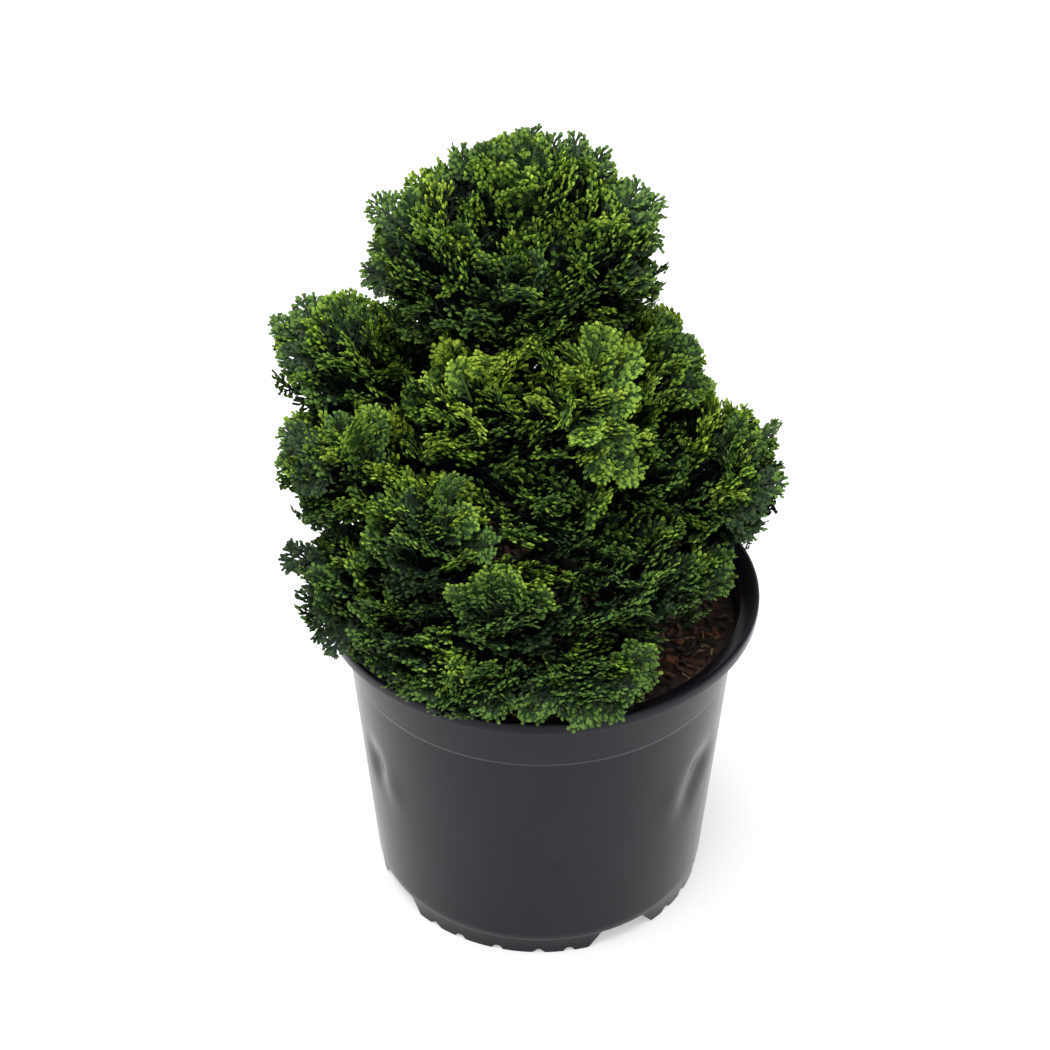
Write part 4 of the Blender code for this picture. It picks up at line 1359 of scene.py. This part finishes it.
def pot_material():
    """Satin black plastic with faint scuffs and a little dust."""
    material, tree, shader = principled("black_plastic", (0.009, 0.0085, 0.012), 0.25)
    shader.inputs["Specular Tint"].default_value = (0.93, 0.92, 1.00, 1.0)
    place = tree.nodes.new("ShaderNodeTexCoord")
    height = tree.nodes.new("ShaderNodeSeparateXYZ")
    # Weaker reflection on the lip and neck above the lip's underside: painted shade for the darker
    # surroundings they reflect
    dimmed_lip_reflection = tree.nodes.new("ShaderNodeMapRange")
    dimmed_lip_reflection.inputs["From Min"].default_value = POT_HEIGHT - LIP_DROP - 0.0010
    dimmed_lip_reflection.inputs["From Max"].default_value = POT_HEIGHT - LIP_DROP + 0.0006
    dimmed_lip_reflection.inputs["To Min"].default_value = 0.24
    dimmed_lip_reflection.inputs["To Max"].default_value = 0.15
    tree.links.new(place.outputs["Object"], height.inputs["Vector"])
    tree.links.new(height.outputs["Z"], dimmed_lip_reflection.inputs["Value"])
    tree.links.new(dimmed_lip_reflection.outputs["Result"], shader.inputs["Specular IOR Level"])
    add_ramp(tree, add_noise(tree, 38.0, 6.0), shader, (
        (0.35, (0.0034, 0.0034, 0.0062)), (0.70, (0.0054, 0.0054, 0.0090)),
    ))
    scuffs = add_noise(tree, 120.0, 8.0, (1.0, 1.0, 0.25))
    rough = tree.nodes.new("ShaderNodeMapRange")
    rough.inputs["To Min"].default_value = 0.16
    rough.inputs["To Max"].default_value = 0.26
    tree.links.new(scuffs.outputs["Fac"], rough.inputs["Value"])
    tree.links.new(rough.outputs["Result"], shader.inputs["Roughness"])
    add_bump(tree, add_noise(tree, 1400.0, 2.0), shader, 0.05, 0.0004)
    return material


def textured(name, colour, roughness, texture, stops, bump):
    """A procedural material: one noise through a colour ramp, and the same noise as bump."""
    material, tree, shader = principled(name, colour, roughness)
    grain = add_noise(tree, *texture)
    add_ramp(tree, grain, shader, stops)
    add_bump(tree, grain, shader, *bump)
    return material


def soil_material():
    return textured("potting_soil", (0.02, 0.011, 0.007), 0.95, (420.0, 8.0), (
        (0.30, (0.007, 0.004, 0.003)), (0.52, (0.034, 0.017, 0.010)), (0.74, (0.100, 0.050, 0.028)),
    ), (0.9, 0.0012))


def chip_material(name, dark, light):
    stops = ((0.35, dark), (0.65, light))
    return textured(name, light, 0.85, (500.0, 4.0), stops, (0.6, 0.0006))


# Bark colours, darkened throughout as painted shade for bark in the crown's shadow
def shaded_bark_material():
    return textured("cypress_bark_painted_shade", (0.09, 0.05, 0.03), 0.85, (420.0, 6.0, (1.0, 1.0, 0.22)), (
        (0.30, (0.012, 0.008, 0.006)), (0.55, (0.034, 0.020, 0.013)), (0.78, (0.080, 0.050, 0.032)),
    ), (0.8, 0.0010))


def all_materials():
    made = {
        "pot": pot_material(),
        "soil": soil_material(),
        "bark": shaded_bark_material(),
        "stem": leaf_material("young_stem", (0.020, 0.016, 0.008), 0.7),
        # Dark colour of the leaves inside the crown: painted shade
        "inside": leaf_material("leaf_inside_painted_shade", (0.0090, 0.0160, 0.0100), 0.6),
        "chip_dark": chip_material("chip_dark", (0.006, 0.004, 0.003), (0.030, 0.016, 0.010)),
        "chip_brown": chip_material("chip_brown", (0.035, 0.016, 0.009), (0.140, 0.062, 0.034)),
        "chip_red": chip_material("chip_red", (0.080, 0.026, 0.012), (0.270, 0.092, 0.044)),
        "chip_tan": chip_material("chip_tan", (0.160, 0.100, 0.050), (0.420, 0.300, 0.170)),
    }
    for tone, colour in BODY_COLOURS.items():
        made["body_" + tone] = leaf_material("leaf_body_" + tone, colour, 0.50)
    for tone, colour in TIP_COLOURS.items():
        made["tip_" + tone] = leaf_material("leaf_tip_" + tone, colour, 0.46)
    return made


# Stage

def stage_object(name, shape, grey, specular, emission):
    """A white object of the stage, from a bmesh."""
    mesh = bpy.data.meshes.new(name)
    shape.to_mesh(mesh)
    shape.free()
    made = linked(name, mesh)
    material, _, shader = principled(name + "_white", (grey, grey, grey), 0.9)
    shader.inputs["Specular IOR Level"].default_value = specular
    shader.inputs["Emission Color"].default_value = (1.0, 1.0, 1.0, 1.0)
    shader.inputs["Emission Strength"].default_value = emission
    mesh.materials.append(material)
    return made


def build_stage():
    """White floor, white surroundings and a white world."""
    shape = bmesh.new()
    bmesh.ops.create_grid(shape, x_segments=1, y_segments=1, size=FLOOR_HALF)
    floor = stage_object("floor", shape, 0.62, 0.1, 0.42)
    floor.location = (0.0, 0.0, -FLOOR_DROP)
    shape = bmesh.new()
    middle = Matrix.Translation((0.0, 0.0, BACKDROP_HEIGHT / 2.0 - BACKDROP_SUNK))
    bmesh.ops.create_cone(
        shape, cap_ends=False, segments=96, radius1=BACKDROP_RADIUS, radius2=BACKDROP_RADIUS,
        depth=BACKDROP_HEIGHT, matrix=middle,
    )
    backdrop = stage_object("backdrop", shape, 0.5, 0.0, 0.75)
    world = bpy.data.worlds.new("studio")
    bpy.context.scene.world = world
    world.use_nodes = True
    world.node_tree.nodes["Background"].inputs["Color"].default_value = (1.0, 1.0, 1.0, 1.0)
    world.node_tree.nodes["Background"].inputs["Strength"].default_value = 0.60


def add_light(name, place, aim, size, power):
    data = bpy.data.lights.new(name, "AREA")
    data.shape = "RECTANGLE"
    data.size, data.size_y = size
    data.energy = power
    lamp = linked(name, data)
    lamp.location = place
    lamp.rotation_euler = (Vector(aim) - Vector(place)).to_track_quat("-Z", "Y").to_euler()


def build_lights():
    add_light("overhead", (-0.20, -0.25, 1.6), (0.0, 0.0, 0.2), (1.3, 1.3), 30.0)
    add_light("side_left", (-1.6, 0.35, 0.5), (0.0, 0.0, 0.1), (0.7, 1.4), 5.0)
    add_light("side_right", (1.6, 0.35, 0.5), (0.0, 0.0, 0.1), (0.7, 1.4), 5.0)


def build_camera():
    data = bpy.data.cameras.new("camera")
    data.lens = CAMERA_LENS
    data.sensor_width = CAMERA_SENSOR
    camera = linked("camera", data)
    aim = Vector(CAMERA_AIM)
    back = Vector((0.0, -math.cos(CAMERA_ELEVATION), math.sin(CAMERA_ELEVATION)))
    camera.location = aim + back * CAMERA_DISTANCE
    camera.rotation_euler = (math.pi / 2.0 - CAMERA_ELEVATION, 0.0, 0.0)
    bpy.context.scene.camera = camera


def build():
    build_camera()
    bpy.context.scene.view_settings.view_transform = "Standard"
    materials = all_materials()
    build_stage()
    build_lights()
    build_pot(materials["pot"])
    build_soil(materials)
    build_trunk(materials["bark"])
    build_boughs(materials["bark"])
    crown = Crown()
    build_stems(crown, materials["stem"])
    build_foliage(crown, materials)


build()
